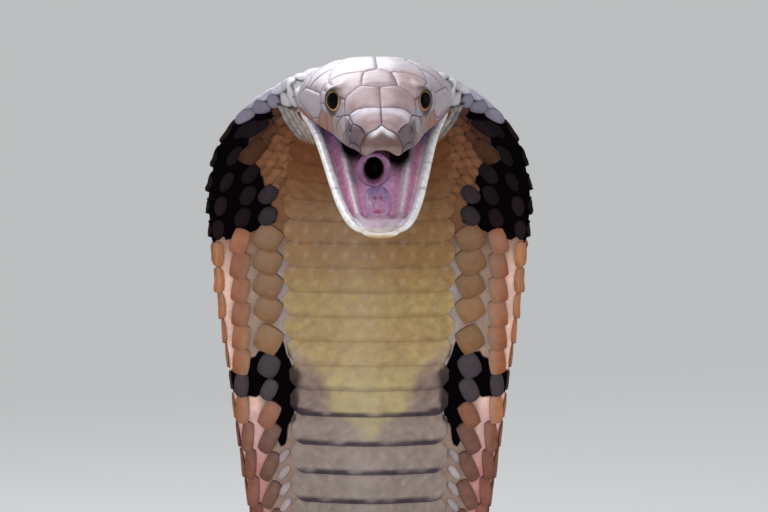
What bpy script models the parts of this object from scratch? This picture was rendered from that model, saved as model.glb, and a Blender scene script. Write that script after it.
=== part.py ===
"""A life-size king cobra, coiled on the floor with its forebody reared, its hood spread and its mouth open.

Metres, +Z up, the head faces -Y. Stations along the body are lengths of spine measured from the back of the
head towards the tail. The head is built in its own frame, whose origin is the middle of the back of the head.
"""

import math

import bmesh
import bpy
import numpy as np
from mathutils import Matrix, Vector

GAP = 0.0003  # between touching pieces

# The whole animal
BODY_LENGTH = 2.52  # from the back of the head to the tip of the tail
RAISED = 0.520  # of that, the length that is off the floor
VENT = 2.07  # station where the tail begins
TOUCH_DOWN = (-0.0180, 0.0155)  # where the belly meets the floor, which centres the box on the origin
BELLY_FLAT = 0.0014  # depth of the flat that the belly's weight makes

# The rise: the spine turns up from the floor, leans back a little, and nods forward at the head
RISE_ARC, RISE_ANGLE = 0.150, 98.0
LEAN_ARC, LEAN_ANGLE = 0.250, 6.0
NOD_ARC, NOD_ANGLE = 0.080, 98.0
HEAD_TURN = 2.1  # degrees to the animal's left, which is +X
HEAD_ASIDE = 0.0002  # of the head from the middle of the hood, to the same side

# The coil: one tight bend under the column, then a loose spiral, then the tail straightens
FIRST_BEND_RADIUS = 0.060
COIL_RADIUS, COIL_STEP = 0.126, 0.064
COIL_SWAY, COIL_SWAY_LENGTH = 0.16, 0.62
TAIL_RELAX, TAIL_RELAX_LENGTH = 1.5, 0.34

# Outline of the body, as (station, size)
HALF_WIDTH = (
    (0.0, 0.0260), (0.009, 0.0268), (0.018, 0.0306), (0.027, 0.0386), (0.036, 0.0472), (0.045, 0.0522),
    (0.060, 0.0546), (0.072, 0.0538), (0.100, 0.0500), (0.135, 0.0456), (0.178, 0.0393), (0.220, 0.0330),
    (0.270, 0.0270), (0.330, 0.0230), (0.400, 0.0220), (0.700, 0.0232),
    (1.300, 0.0248), (1.750, 0.0232), (2.050, 0.0180), (2.250, 0.0112), (2.420, 0.0056), (2.520, 0.0014),
)
WING_HALF_DEPTH = (
    (0.0, 0.0066), (0.030, 0.0056), (0.080, 0.0046), (0.178, 0.0066), (0.240, 0.0120), (0.310, 0.0185),
    (0.380, 0.0205), (0.700, 0.0222), (1.300, 0.0240), (1.750, 0.0224), (2.050, 0.0174), (2.250, 0.0108),
    (2.420, 0.0054), (2.520, 0.0013),
)
CORE_BELLY = ((0.0, 0.0050), (0.030, 0.0080), (0.080, 0.0090), (0.178, 0.0084), (0.240, 0.0050), (0.310, 0.0))
CORE_BACK = ((0.0, 0.0040), (0.030, 0.0056), (0.080, 0.0070), (0.178, 0.0068), (0.240, 0.0042), (0.310, 0.0))
HOOD_CUP = (
    (0.0, -0.0035), (0.012, -0.0060), (0.027, -0.0050), (0.040, -0.0010), (0.055, 0.0050), (0.075, 0.0090),
    (0.095, 0.0080), (0.130, 0.0045), (0.200, 0.0),
)
CORE_SHARPNESS = 7.0  # power that keeps the core narrow in the hood
HOOD_ENDS, HOOD_FADE = 0.30, 0.12  # station and length over which the hood's toothed rim dies out
BELLY_SHARE = 0.92  # of the half depth, on the belly's side of the trunk

# Belly scutes, each with a free edge towards the tail
SCUTE_LENGTH = 0.0093
SCUTE_HALF_WIDTH = 0.0262
SCUTE_SHARE = 0.82  # of the half width, at most, where the trunk is slim
SCUTE_LIFT = 0.0008
EDGE_LIFT = 0.0010  # of the scale tips along the rim of the hood
SCUTE_EDGE = 0.0003  # run of the step at a free edge

# Head, with distances behind the snout and heights above the line of the lips
HEAD_LENGTH = 0.080
HINGE = 0.056  # from the snout to the corner of the mouth
GAPE = math.radians(27.0)
HEAD_HALF_WIDTH = (
    (0.0, 0.0062), (0.001, 0.0078), (0.003, 0.0094), (0.008, 0.0112), (0.016, 0.0134), (0.026, 0.0160),
    (0.036, 0.0192), (0.046, 0.0222), (0.056, 0.0246), (0.066, 0.0256), (0.080, 0.0255),
)
HEAD_TOP = (
    (0.0, 0.0074), (0.001, 0.0086), (0.003, 0.0098), (0.008, 0.0124), (0.015, 0.0152), (0.022, 0.0168),
    (0.032, 0.0180), (0.050, 0.0188), (0.060, 0.0182), (0.070, 0.0152), (0.080, 0.0106),
)
HEAD_SQUARENESS = ((0.0, 2.6), (0.015, 2.9), (0.030, 2.8), (0.060, 2.5), (0.080, 2.1))
LIP_TUCK = ((0.0, 0.0), (0.012, 0.0006), (0.026, 0.0016), (0.056, 0.0024), (0.080, 0.0))  # under the cheeks
LIP_LOBE, LIP_LOBE_AT, LIP_LOBE_WIDTH = 0.0013, 0.0054, 0.0024  # each side of the notch in the front lip
LIP_LOBE_LENGTH = (0.004, 0.010)  # in full, and dying out behind that
HEAD_PLATES = (0.0010, 0.0062, 0.0170, 0.0320, 0.0540)  # where each pair of plates on the crown begins
PLATE_LIFT, PLATE_EDGE = 0.0004, 0.0003
CROWN_FROM, CROWN_FADE = 0.45, 0.3  # shares of the head's height over which the crown's plates begin
LOWER_DEPTH, LOWER_SQUARENESS = 0.0105, 2.4  # of the section through the corners of the mouth
TUCK_HEIGHT = 0.45  # share of the head's height that the tuck of the lips takes
PALATE_RISE, PALATE_STARTS, PALATE_LENGTH = 0.0034, 0.002, 0.008
PALATE_LIP, PALATE_SLOPE = 0.22, 0.5  # shares of the half section that the lip and the palate's side take
BROW_LIFT, BROW_AT, BROW_LENGTH, BROW_HEIGHT, BROW_DEPTH = 0.0011, 0.027, 0.0075, 0.62, 0.24
BROW_SLANT = 0.4  # upward share of the brow's lift
EYE_RADIUS, EYE_AT, EYE_HEIGHT, EYE_SINK = 0.0037, 0.0262, 0.0098, 0.0023
NOSTRIL_RADIUS, NOSTRIL_AT, NOSTRIL_HEIGHT = 0.0011, 0.0072, 0.0078
NOSTRIL_INSET, NOSTRIL_DEPTH, NOSTRIL_TALL = 0.97, 0.0014, 1.3
THROAT_SIZE = (0.0120, 0.0120, 0.0058)  # half sizes of the opening behind the mouth

# Lower jaw, with distances before the corners of the mouth and heights above its rim
JAW_LENGTH = 0.058
JAW_HALF_WIDTH = (
    (0.0, 0.0222), (0.006, 0.0206), (0.015, 0.0186), (0.025, 0.0168), (0.034, 0.0152), (0.043, 0.0134),
    (0.051, 0.0110), (0.0555, 0.0086), (0.0580, 0.0056),
)
JAW_DEPTH = ((0.0, 0.0105), (0.020, 0.0084), (0.040, 0.0070), (0.051, 0.0052), (0.058, 0.0024))
RIM_WIDTH, RIM_PEAK, RIM_ROUND = 0.0026, 0.35, 0.0005
FLOOR_PROFILE = (  # share of the half width inside the rim, and depth: groove, ridge, groove, mound, midline
    (0.88, 0.0046), (0.66, 0.0022), (0.46, 0.0046), (0.24, 0.0038), (0.0, 0.0034),
)
FLOOR_CLOSES = (0.044, 0.053)
JAW_STATIONS = (0.006, 0.012, 0.018, 0.024, 0.030, 0.036, 0.041, 0.0455, 0.0495, 0.053, 0.0558, 0.0572)
JAW_SIDE_ANGLE = 15

# Windpipe, lying on the floor of the mouth
# Distance before the corners of the mouth, and height above the rim
PIPE_BACK, PIPE_FRONT = (0.0140, -0.0012), (0.0285, 0.0040)
PIPE_RADIUS, PIPE_HOLE, PIPE_TALL, PIPE_BORE = 0.0056, 0.0028, 1.2, 0.0090
PIPE_TAPER, PIPE_LIP, PIPE_SIDES = 0.8, ((0.0012, 1.0), (0.0003, 0.92), (0.0, 0.78)), 16
PIPE_SEAT = 0.0031  # depth below the rim where the pipe lies flat on the floor of the mouth

# Where the body is parted into lengths
SCUTED_CUTS = (
    ("hood_crown", 9), ("hood_spread", 13), ("neck", 14), ("forebody_upper", 11), ("forebody_lower", 11),
)  # name and count of scutes
BEND_CUTS = ("body_bend_1", "body_bend_2")
BEND_END = 0.690
COIL_LENGTHS = 9
TAIL_CUTS = ("tail_base", "tail_tip")
TAIL_SPLIT = 2.28
COIL_RING_STEP, COIL_SIDES = 0.019, 20

# How finely the head and the rings are built
HEAD_STATIONS = (0.0, 0.0026, 0.009, 0.013, 0.0205, 0.024, 0.028, 0.036, 0.041, 0.046, 0.050)
NAPE_STATIONS = (0.0625, 0.069, 0.075)
HEAD_SIDES = 32
SCUTE_COLUMNS = 4  # of points from the midline to the end of a scute
RIM_SHARES = (0.35, 0.65, 0.88)  # of the way on from there to the rim
RIM_FROM = 0.9  # share of the half width where the rim's teeth begin
SCUTE_END = 0.12  # share of a scute's half length over which its free edge dies out
SPINE_STEP = 0.001


def smooth(share):
    """0 to 1 with level ends."""
    share = min(max(share, 0.0), 1.0)
    return share * share * (3 - 2 * share)


def bump(value, middle, width):
    """1 at the middle, falling away on both sides."""
    return math.exp(-(((value - middle) / width) ** 2))


def along(table, at):
    """A smooth curve through (station, value) points that never overshoots them."""
    xs, ys = zip(*table)
    if at <= xs[0]:
        return ys[0]
    if at >= xs[-1]:
        return ys[-1]
    steps = [(y2 - y1) / (x2 - x1) for x1, x2, y1, y2 in zip(xs, xs[1:], ys, ys[1:])]
    slopes = [0.0] + [2 * a * b / (a + b) if a * b > 0 else 0.0 for a, b in zip(steps, steps[1:])] + [0.0]
    i = max(k for k in range(len(steps)) if xs[k] <= at)
    span = xs[i + 1] - xs[i]
    u = (at - xs[i]) / span
    rise = ys[i + 1] - ys[i]
    return (
        ys[i]
        + rise * u * u * (3 - 2 * u)
        + span * u * (1 - u) * (slopes[i] * (1 - u) - slopes[i + 1] * u)
    )


def rise_angle(up):
    """Slope of the spine, in radians, at a length up from where it leaves the floor."""
    return math.radians(
        RISE_ANGLE * smooth(up / RISE_ARC)
        - LEAN_ANGLE * smooth((up - RISE_ARC) / LEAN_ARC)
        - NOD_ANGLE * nod_share(up)
    )


def nod_share(up):
    """How much of the nod is done. It starts gently and is still bending where the neck meets the head."""
    share = min(max((up - (RAISED - NOD_ARC)) / NOD_ARC, 0.0), 1.0)
    return share * share * (2 - share)


def coil_turning(back):
    """Curvature of the spine on the floor, at a length back from where it touches down."""
    first = smooth(back / 0.05) / FIRST_BEND_RADIUS
    loose = 1 / math.sqrt(COIL_RADIUS**2 + COIL_STEP * max(back - 0.14, 0.0) / math.pi)
    into_loose = smooth((back - 0.09) / 0.10)
    turning = first * (1 - into_loose) + loose * into_loose
    sway = math.sin(2 * math.pi * (back - 0.25) / COIL_SWAY_LENGTH) * smooth((back - 0.2) / 0.2)
    floor_length = BODY_LENGTH - RAISED
    relax = smooth((back - (floor_length - TAIL_RELAX_LENGTH)) / 0.30)
    return turning * (1 + COIL_SWAY * sway) * (1 - TAIL_RELAX * relax)


def belly_depth(station):
    return along(WING_HALF_DEPTH, station) * BELLY_SHARE


def rest_height(station):
    """Height of the spine where the belly lies on the floor."""
    return belly_depth(max(station, RAISED)) - BELLY_FLAT


def trace_spine():
    """(place, way to the head, way to the back, way to the right) of the spine at every millimetre."""
    count = round(BODY_LENGTH / SPINE_STEP) + 1
    foot = round(RAISED / SPINE_STEP)
    spine = [None] * count
    x, y = TOUCH_DOWN
    z = 0.0
    for k in range(foot + 1):
        up = k * SPINE_STEP
        slope = rise_angle(up)
        turn = math.radians(HEAD_TURN) * smooth((up - (RAISED - NOD_ARC)) / NOD_ARC)
        level = Vector((math.sin(turn), -math.cos(turn), 0.0))
        ahead = level * math.cos(slope) + Vector((0, 0, math.sin(slope)))
        back = Vector((0, 0, math.cos(slope))) - level * math.sin(slope)
        aside = HEAD_ASIDE * smooth((up - (RAISED - NOD_ARC)) / NOD_ARC)
        place = Vector((x + aside, y, z + rest_height(RAISED)))
        spine[foot - k] = (place, ahead, back, ahead.cross(back))
        x, y, z = x + ahead.x * SPINE_STEP, y + ahead.y * SPINE_STEP, z + ahead.z * SPINE_STEP
    x, y = TOUCH_DOWN
    heading = math.pi / 2
    for k in range(foot, count):
        station = k * SPINE_STEP
        ahead = Vector((-math.cos(heading), -math.sin(heading), 0.0))
        back = Vector((0, 0, 1))
        spine[k] = (Vector((x, y, rest_height(station))), ahead, back, ahead.cross(back))
        heading += coil_turning(station - RAISED) * SPINE_STEP
        x, y = x + math.cos(heading) * SPINE_STEP, y + math.sin(heading) * SPINE_STEP
    return spine


SPINE = trace_spine()


def spine_at(station):
    at = min(max(station / SPINE_STEP, 0.0), len(SPINE) - 1.001)
    k = int(at)
    part = at - k
    return tuple(a.lerp(b, part) for a, b in zip(SPINE[k], SPINE[k + 1]))


def scute_share(station):
    """Half length of a belly scute as a share of the half width."""
    return min(SCUTE_HALF_WIDTH / along(HALF_WIDTH, station), SCUTE_SHARE)


def ring_angles(station):
    """Angles round a ring, with one at the ends of the scutes and closer ones at the rim."""
    scute = scute_share(station)
    shares = [scute * k / SCUTE_COLUMNS for k in range(SCUTE_COLUMNS + 1)]
    shares += [scute + (1 - scute) * share for share in RIM_SHARES]
    quarter = [math.asin(share) for share in shares]
    half = quarter + [math.pi / 2] + [math.pi - a for a in reversed(quarter)]
    return half + [2 * math.pi - a for a in reversed(half[1:-1])]


def even_angles(count):
    return [2 * math.pi * k / count for k in range(count)]


def body_point(station, angle, lift=0.0):
    """A point of the skin, with the angle 0 at the belly. lift raises a scute's free edge."""
    place, _, back, right = spine_at(station)
    width = along(HALF_WIDTH, station)
    depth = along(WING_HALF_DEPTH, station)
    out, down = math.sin(angle), math.cos(angle)
    core = along(CORE_BELLY if down > 0 else CORE_BACK, station) * abs(down) ** CORE_SHARPNESS
    below = depth * down * (BELLY_SHARE if down > 0 else 1.0) + math.copysign(core, down)
    below += along(HOOD_CUP, station) * out * out
    across = width * out
    if down > 0:
        below += lift * SCUTE_LIFT * smooth((1 + SCUTE_END - abs(out) / scute_share(station)) / SCUTE_END)
    rim = smooth((abs(out) - RIM_FROM) / (1 - RIM_FROM)) * smooth((HOOD_ENDS - station) / HOOD_FADE)
    across += lift * EDGE_LIFT * rim * math.copysign(1.0, out)
    point = place + right * across - back * below
    return Vector((point.x, point.y, max(point.z, 0.0)))


def next_ring(mesh, ring):
    """Extrudes the ring's edges and returns the new points in the ring's own order."""
    edges = [mesh.edges.get(pair) for pair in zip(ring, ring[1:] + ring[:1])]
    made = bmesh.ops.extrude_edge_only(mesh, edges=edges)["geom"]
    fresh = {item for item in made if isinstance(item, bmesh.types.BMVert)}
    return [next(e.other_vert(v) for e in v.link_edges if e.other_vert(v) in fresh) for v in ring]


def loft(name, rings, material):
    """One closed solid through the rings, each a list of as many points, with both ends filled."""
    mesh = bmesh.new()
    ring = bmesh.ops.create_circle(mesh, cap_ends=False, segments=len(rings[0]), radius=1.0)["verts"]
    first = list(ring)
    for vert, point in zip(ring, rings[0]):
        vert.co = point
    for points in rings[1:]:
        ring = next_ring(mesh, ring)
        for vert, point in zip(ring, points):
            vert.co = point
    mesh.faces.new(first)
    mesh.faces.new(ring)
    bmesh.ops.triangulate(mesh, faces=mesh.faces[:])
    bmesh.ops.recalc_face_normals(mesh, faces=mesh.faces[:])
    if mesh.calc_volume(signed=True) < 0:
        bmesh.ops.reverse_faces(mesh, faces=mesh.faces[:])
    return add_object(name, mesh, material)


def add_object(name, mesh, material):
    data = bpy.data.meshes.new(name)
    mesh.to_mesh(data)
    mesh.free()
    data.shade_smooth()
    data.set_sharp_from_angle(angle=math.radians(50))
    if material:
        data.materials.append(material)
    piece = bpy.data.objects.new(name, data)
    bpy.context.scene.collection.objects.link(piece)
    return piece


def finish(name, colour, roughness):
    """A plain material of the piece's own colour."""
    material = bpy.data.materials.new(name)
    material.use_nodes = True
    surface = material.node_tree.nodes["Principled BSDF"]
    surface.inputs["Base Color"].default_value = (*colour, 1.0)
    surface.inputs["Roughness"].default_value = roughness
    return material


def scuted_length(name, first, last, material):
    """A length of body from one scute to another, each rising to a free edge that steps down to the next."""
    rings = []
    for k in range(first, last):
        start, end = k * SCUTE_LENGTH, (k + 1) * SCUTE_LENGTH
        start += GAP / 2 if k == first else SCUTE_EDGE / 2
        end -= GAP / 2 if k == last - 1 else SCUTE_EDGE / 2
        rings.append([body_point(start, a, 0.0) for a in ring_angles(start)])
        rings.append([body_point(end, a, 1.0) for a in ring_angles(end)])
    return loft(name, rings, material)


def plain_length(name, first, last, material):
    """A length of body between two stations."""
    first, last = first + GAP / 2, last - GAP / 2
    count = max(2, math.ceil((last - first) / COIL_RING_STEP))
    stations = [first + (last - first) * k / count for k in range(count + 1)]
    return loft(name, [[body_point(s, a) for a in even_angles(COIL_SIDES)] for s in stations], material)


def head_frame():
    """Matrix from the head's own frame: x to its right, y towards the snout, z up from the lips."""
    place, ahead, back, right = SPINE[0]
    matrix = Matrix((right, ahead, back)).transposed().to_4x4()
    matrix.translation = place
    return matrix


def jaw_frame():
    """Matrix from the lower jaw's frame, with its origin midway between the corners of the mouth."""
    corner = Matrix.Translation((0.0, HEAD_LENGTH - HINGE, 0.0))
    return head_frame() @ corner @ Matrix.Rotation(-GAPE, 4, "X")


def powered(value, power):
    return math.copysign(abs(value) ** power, value)


def plate_lift(distance, edge_side):
    """How high a crown plate has risen: edge_side is -1 on its rear edge, 1 at the foot of the next."""
    at = distance + edge_side * PLATE_EDGE
    for begin, end in zip(HEAD_PLATES, (*HEAD_PLATES[1:], HEAD_LENGTH)):
        if begin <= at < end:
            return PLATE_LIFT * (distance - begin) / (end - begin)
    return 0.0


def lip_height(across, distance):
    """The line of the upper lips, which hangs in two lobes beside the notch at the front."""
    lobe = bump(abs(across), LIP_LOBE_AT, LIP_LOBE_WIDTH)
    return -LIP_LOBE * lobe * (1 - smooth((distance - LIP_LOBE_LENGTH[0]) / LIP_LOBE_LENGTH[1]))


def upper_point(distance, angle):
    """A point above the lips, in the head's frame: tucked in at the lips and ridged over the eyes."""
    out, up = math.sin(angle), abs(math.cos(angle))
    power = 2 / along(HEAD_SQUARENESS, distance)
    x = along(HEAD_HALF_WIDTH, distance) * powered(out, power)
    x -= math.copysign(along(LIP_TUCK, distance) * max(1 - up / TUCK_HEIGHT, 0.0) ** 2, x)
    lip = lip_height(x, distance)
    z = lip + (along(HEAD_TOP, distance) - lip) * up**power
    brow = bump(distance, BROW_AT, BROW_LENGTH) * bump(up, BROW_HEIGHT, BROW_DEPTH)
    x += math.copysign(BROW_LIFT * brow, x)
    z += BROW_SLANT * BROW_LIFT * brow
    return Vector((x, HEAD_LENGTH - distance, z))


def palate_point(distance, angle):
    """A point of the roof of the mouth, which rises inside the lips."""
    out, in_ = math.sin(angle), math.cos(angle)
    x = upper_lip_half_width(distance) * powered(out, 2 / LOWER_SQUARENESS)
    arch = smooth((in_ - PALATE_LIP) / PALATE_SLOPE) * smooth((distance - PALATE_STARTS) / PALATE_LENGTH)
    z = lip_height(x, distance) * (1 - arch) + PALATE_RISE * arch
    return Vector((x, HEAD_LENGTH - distance, z))


def upper_lip_half_width(distance):
    return along(HEAD_HALF_WIDTH, distance) - along(LIP_TUCK, distance)


def under_point(distance, angle):
    """A point round the back of the lower jaw, whose section leans with the jaw at its corners."""
    out, in_ = math.sin(angle), math.cos(angle)
    to_neck = smooth((distance - HINGE) / (HEAD_LENGTH - HINGE))
    power = 2 / LOWER_SQUARENESS
    below = LOWER_DEPTH * in_**power
    lean = GAPE * (1 - to_neck)
    x = upper_lip_half_width(distance) * powered(out, power)
    return Vector((x, HEAD_LENGTH - distance - below * math.sin(lean), -below * math.cos(lean)))


def head_ring(frame, distance, angles, lower, edge_side=0):
    """A ring round the head. Above the lips it is the crown and cheeks, and below them what lower gives."""
    ring = []
    for angle in angles:
        if math.cos(angle) > 1e-9:
            ring.append(frame @ lower(distance, angle))
            continue
        point = upper_point(distance, angle)
        point.z += plate_lift(distance, edge_side) * smooth((abs(math.cos(angle)) - CROWN_FROM) / CROWN_FADE)
        ring.append(frame @ point)
    return ring


def head_rings(angles):
    frame = head_frame()
    ahead = frame.col[1].to_3d()
    neck = [body_point(0.0, a) for a in ring_angles(0.0)]
    stations = [(d, 0) for d in HEAD_STATIONS]
    for edge in HEAD_PLATES:
        stations += [(edge - PLATE_EDGE / 2, -1), (edge + PLATE_EDGE / 2, 1)]
    stations += [(HINGE, 0)]
    rings = [head_ring(frame, d, angles, palate_point, side) for d, side in sorted(stations)]
    for distance in (HINGE + GAP, *NAPE_STATIONS):
        to_neck = smooth((distance - HINGE) / (HEAD_LENGTH - HINGE))
        ring = head_ring(frame, distance, angles, under_point)
        rings.append([p.lerp(n + ahead * (HEAD_LENGTH - distance), to_neck) for p, n in zip(ring, neck)])
    rings.append([n + ahead * (GAP / 2) for n in neck])
    return rings


def cutter(name, mesh):
    """A hidden tool that a Boolean cuts with."""
    piece = add_object(name, mesh, None)
    piece.hide_render = True
    piece.display_type = "WIRE"
    return piece


def ball(matrix, around=16, rows=10):
    mesh = bmesh.new()
    bmesh.ops.create_uvsphere(mesh, u_segments=around, v_segments=rows, radius=1.0, matrix=matrix)
    return mesh


def cut(piece, tool):
    modifier = piece.modifiers.new(tool.name, "BOOLEAN")
    modifier.operation = "DIFFERENCE"
    modifier.object = tool


def eye_place(side):
    return Vector((side * (along(HEAD_HALF_WIDTH, EYE_AT) - EYE_SINK), HEAD_LENGTH - EYE_AT, EYE_HEIGHT))


def build_head(skin, iris):
    frame = head_frame()
    head = loft("head", head_rings(even_angles(HEAD_SIDES)), skin)
    for name, side in (("left", -1), ("right", 1)):
        place = frame @ Matrix.Translation(eye_place(side)) @ Matrix.Rotation(math.pi / 2, 4, "Y")
        cut(head, cutter("socket_" + name, ball(place @ Matrix.Scale(EYE_RADIUS + GAP, 4))))
        add_object("eye_" + name, ball(place @ Matrix.Scale(EYE_RADIUS, 4), 14, 8), iris)
        out = side * along(HEAD_HALF_WIDTH, NOSTRIL_AT) * NOSTRIL_INSET
        nostril = Matrix.Translation((out, HEAD_LENGTH - NOSTRIL_AT, NOSTRIL_HEIGHT))
        size = Matrix.Diagonal((NOSTRIL_DEPTH, NOSTRIL_RADIUS, NOSTRIL_RADIUS * NOSTRIL_TALL, 1.0))
        cut(head, cutter("nostril_hole_" + name, ball(frame @ nostril @ size, 8, 6)))
    throat = jaw_frame() @ Matrix.Diagonal((*THROAT_SIZE, 1.0))
    cut(head, cutter("throat_hole", ball(throat)))


def jaw_ring(distance):
    """The lower jaw's section, from rim to rim under the chin and back across the mouth's floor."""
    half = along(JAW_HALF_WIDTH, distance)
    depth = along(JAW_DEPTH, distance)
    power = 2 / LOWER_SQUARENESS
    open_ = 1 - smooth((distance - FLOOR_CLOSES[0]) / (FLOOR_CLOSES[1] - FLOOR_CLOSES[0]))
    outside = [math.radians(a) for a in range(-90, 91, JAW_SIDE_ANGLE)]
    ring = [(half * powered(math.sin(a), power), -depth * abs(math.cos(a)) ** power) for a in outside]
    inner = half - RIM_WIDTH
    across = [(half - RIM_WIDTH * RIM_PEAK, RIM_ROUND), (inner, 0.0)]
    across += [(inner * share, -depth * open_) for share, depth in FLOOR_PROFILE]
    ring += across + [(-x, z) for x, z in reversed(across[:-1])]
    return [Vector((x, distance, z)) for x, z in ring]


def build_jaw(skin, lining):
    frame = jaw_frame()
    loft("lower_jaw", [[frame @ p for p in jaw_ring(d)] for d in (GAP, *JAW_STATIONS, JAW_LENGTH)], skin)
    back, front = Vector((0.0, *PIPE_BACK)), Vector((0.0, *PIPE_FRONT))
    way = (front - back).normalized()
    up = Vector((1, 0, 0)).cross(way)
    length = (front - back).length
    bore = PIPE_HOLE / PIPE_RADIUS
    profile = [(0.0, PIPE_TAPER), *((length - short, share) for short, share in PIPE_LIP)]
    profile += [(length - PIPE_LIP[0][0], bore), (length - PIPE_BORE, PIPE_TAPER * bore)]
    rings = []
    for run, share in profile:
        ring = []
        for angle in even_angles(PIPE_SIDES):
            reach = PIPE_RADIUS * share
            point = back + way * run + Vector((reach * math.cos(angle), 0, 0))
            point += up * reach * PIPE_TALL * math.sin(angle)
            point.z = max(point.z, -PIPE_SEAT)
            ring.append(frame @ point)
        rings.append(ring)
    loft("windpipe", rings, lining)


def build_body(skin):
    first = 0
    for name, scutes in SCUTED_CUTS:
        scuted_length(name, first, first + scutes, skin)
        first += scutes
    start = first * SCUTE_LENGTH
    bend = (BEND_END - start) / len(BEND_CUTS)
    cuts = [(name, start + bend * k, start + bend * (k + 1)) for k, name in enumerate(BEND_CUTS)]
    coil = (VENT - BEND_END) / COIL_LENGTHS
    for k in range(COIL_LENGTHS):
        cuts.append((f"body_coil_{k + 1}", BEND_END + coil * k, BEND_END + coil * (k + 1)))
    cuts += [(TAIL_CUTS[0], VENT, TAIL_SPLIT), (TAIL_CUTS[1], TAIL_SPLIT, BODY_LENGTH)]
    for name, begin, end in cuts:
        plain_length(name, begin, end, skin)


def main():
    for piece in list(bpy.data.objects):
        bpy.data.objects.remove(piece)
    head_skin = finish("head_scales", (0.42, 0.33, 0.29), 0.35)
    body_skin = finish("body_scales", (0.20, 0.14, 0.07), 0.40)
    lining = finish("mouth_lining", (0.62, 0.36, 0.42), 0.25)
    iris = finish("eye", (0.01, 0.01, 0.01), 0.08)
    build_head(head_skin, iris)
    build_jaw(head_skin, lining)
    build_body(body_skin)


main()
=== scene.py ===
"""A king cobra at life size, reared with its hood spread and its mouth open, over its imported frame."""
import math

import bmesh
import bpy
import numpy as np
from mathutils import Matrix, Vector


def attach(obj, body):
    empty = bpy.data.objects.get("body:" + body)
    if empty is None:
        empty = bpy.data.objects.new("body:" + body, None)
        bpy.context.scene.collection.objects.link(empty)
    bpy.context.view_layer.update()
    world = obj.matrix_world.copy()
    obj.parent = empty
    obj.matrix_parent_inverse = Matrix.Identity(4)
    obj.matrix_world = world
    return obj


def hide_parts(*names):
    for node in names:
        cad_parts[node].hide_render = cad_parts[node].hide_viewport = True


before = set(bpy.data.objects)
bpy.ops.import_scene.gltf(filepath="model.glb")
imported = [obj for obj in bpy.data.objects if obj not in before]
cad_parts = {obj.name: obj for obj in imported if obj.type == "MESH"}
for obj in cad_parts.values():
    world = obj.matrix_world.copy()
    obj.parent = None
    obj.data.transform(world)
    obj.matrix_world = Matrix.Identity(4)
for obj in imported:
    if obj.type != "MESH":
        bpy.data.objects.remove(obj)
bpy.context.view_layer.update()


# The camera
# It looks at the hood from a little above, through a long lens, which gives the photograph's framing.

VIEW_TARGET = Vector((-0.0130, -0.10, 0.4063))
VIEW_ELEVATION = math.radians(7.0)
VIEW_DISTANCE = 1.03


def place_camera():
    view = bpy.data.cameras.new("front_view")
    view.lens = 150.0
    view.sensor_width = 36.0
    view.clip_start = 0.02
    camera = bpy.data.objects.new("front_view", view)
    bpy.context.scene.collection.objects.link(camera)
    back = Vector((0.0, -math.cos(VIEW_ELEVATION), math.sin(VIEW_ELEVATION)))
    camera.location = VIEW_TARGET + back * VIEW_DISTANCE
    camera.rotation_euler = (-back).to_track_quat("-Z", "Y").to_euler()
    bpy.context.scene.camera = camera


place_camera()


# The skin of the hood, the body and the tail
# One closed skin, which the scutes and scales grow from and which shows between the scales of the spread
# hood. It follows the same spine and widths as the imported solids, and lies inside them by the coat's depth.

BODY_LENGTH = 2.52  # from the back of the head to the tip of the tail
RAISED = 0.520  # of that, the length that is off the floor
VENT = 2.07  # where the tail begins
TOUCH_DOWN = (-0.0180, 0.0155)
BELLY_FLAT = 0.0014
RISE_ARC, RISE_ANGLE = 0.150, 98.0
LEAN_ARC, LEAN_ANGLE = 0.250, 6.0
NOD_ARC, NOD_ANGLE = 0.080, 98.0
HEAD_TURN, HEAD_ASIDE = 2.1, 0.0002
FIRST_BEND_RADIUS, FIRST_BEND_EASE = 0.060, 0.05
COIL_RADIUS, COIL_STEP, COIL_WIDENS = 0.126, 0.064, 0.14
COIL_START, COIL_EASE = 0.09, 0.10
COIL_SWAY, COIL_SWAY_LENGTH, COIL_SWAY_FROM, COIL_SWAY_START = 0.16, 0.62, 0.25, 0.2
TAIL_RELAX, TAIL_RELAX_LENGTH, TAIL_RELAX_EASE = 1.5, 0.34, 0.30
SPINE_STEP = 0.001
HALF_WIDTH = (
    (0.0, 0.0260), (0.009, 0.0268), (0.018, 0.0306), (0.027, 0.0386), (0.036, 0.0472), (0.045, 0.0522),
    (0.060, 0.0546), (0.072, 0.0538), (0.100, 0.0500), (0.135, 0.0456), (0.178, 0.0393), (0.220, 0.0330),
    (0.270, 0.0270), (0.330, 0.0230), (0.400, 0.0220), (0.700, 0.0232),
    (1.300, 0.0248), (1.750, 0.0232), (2.050, 0.0180), (2.250, 0.0112), (2.420, 0.0056), (2.520, 0.0014),
)
WING_HALF_DEPTH = (
    (0.0, 0.0066), (0.030, 0.0056), (0.080, 0.0046), (0.178, 0.0066), (0.240, 0.0120), (0.310, 0.0185),
    (0.380, 0.0205), (0.700, 0.0222), (1.300, 0.0240), (1.750, 0.0224), (2.050, 0.0174), (2.250, 0.0108),
    (2.420, 0.0054), (2.520, 0.0013),
)
CORE_BELLY = ((0.0, 0.0050), (0.030, 0.0080), (0.080, 0.0090), (0.178, 0.0084), (0.240, 0.0050), (0.310, 0.0))
CORE_BACK = ((0.0, 0.0040), (0.030, 0.0056), (0.080, 0.0070), (0.178, 0.0068), (0.240, 0.0042), (0.310, 0.0))
HOOD_CUP = (
    (0.0, -0.0035), (0.012, -0.0060), (0.027, -0.0050), (0.040, -0.0010), (0.055, 0.0050), (0.075, 0.0090),
    (0.095, 0.0080), (0.130, 0.0045), (0.200, 0.0),
)
CORE_SHARPNESS = 7.0
BELLY_SHARE = 0.92
COAT_DEPTH = 0.0005  # the skin lies this far inside the solids
SKIN_COLUMNS = 144
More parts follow.
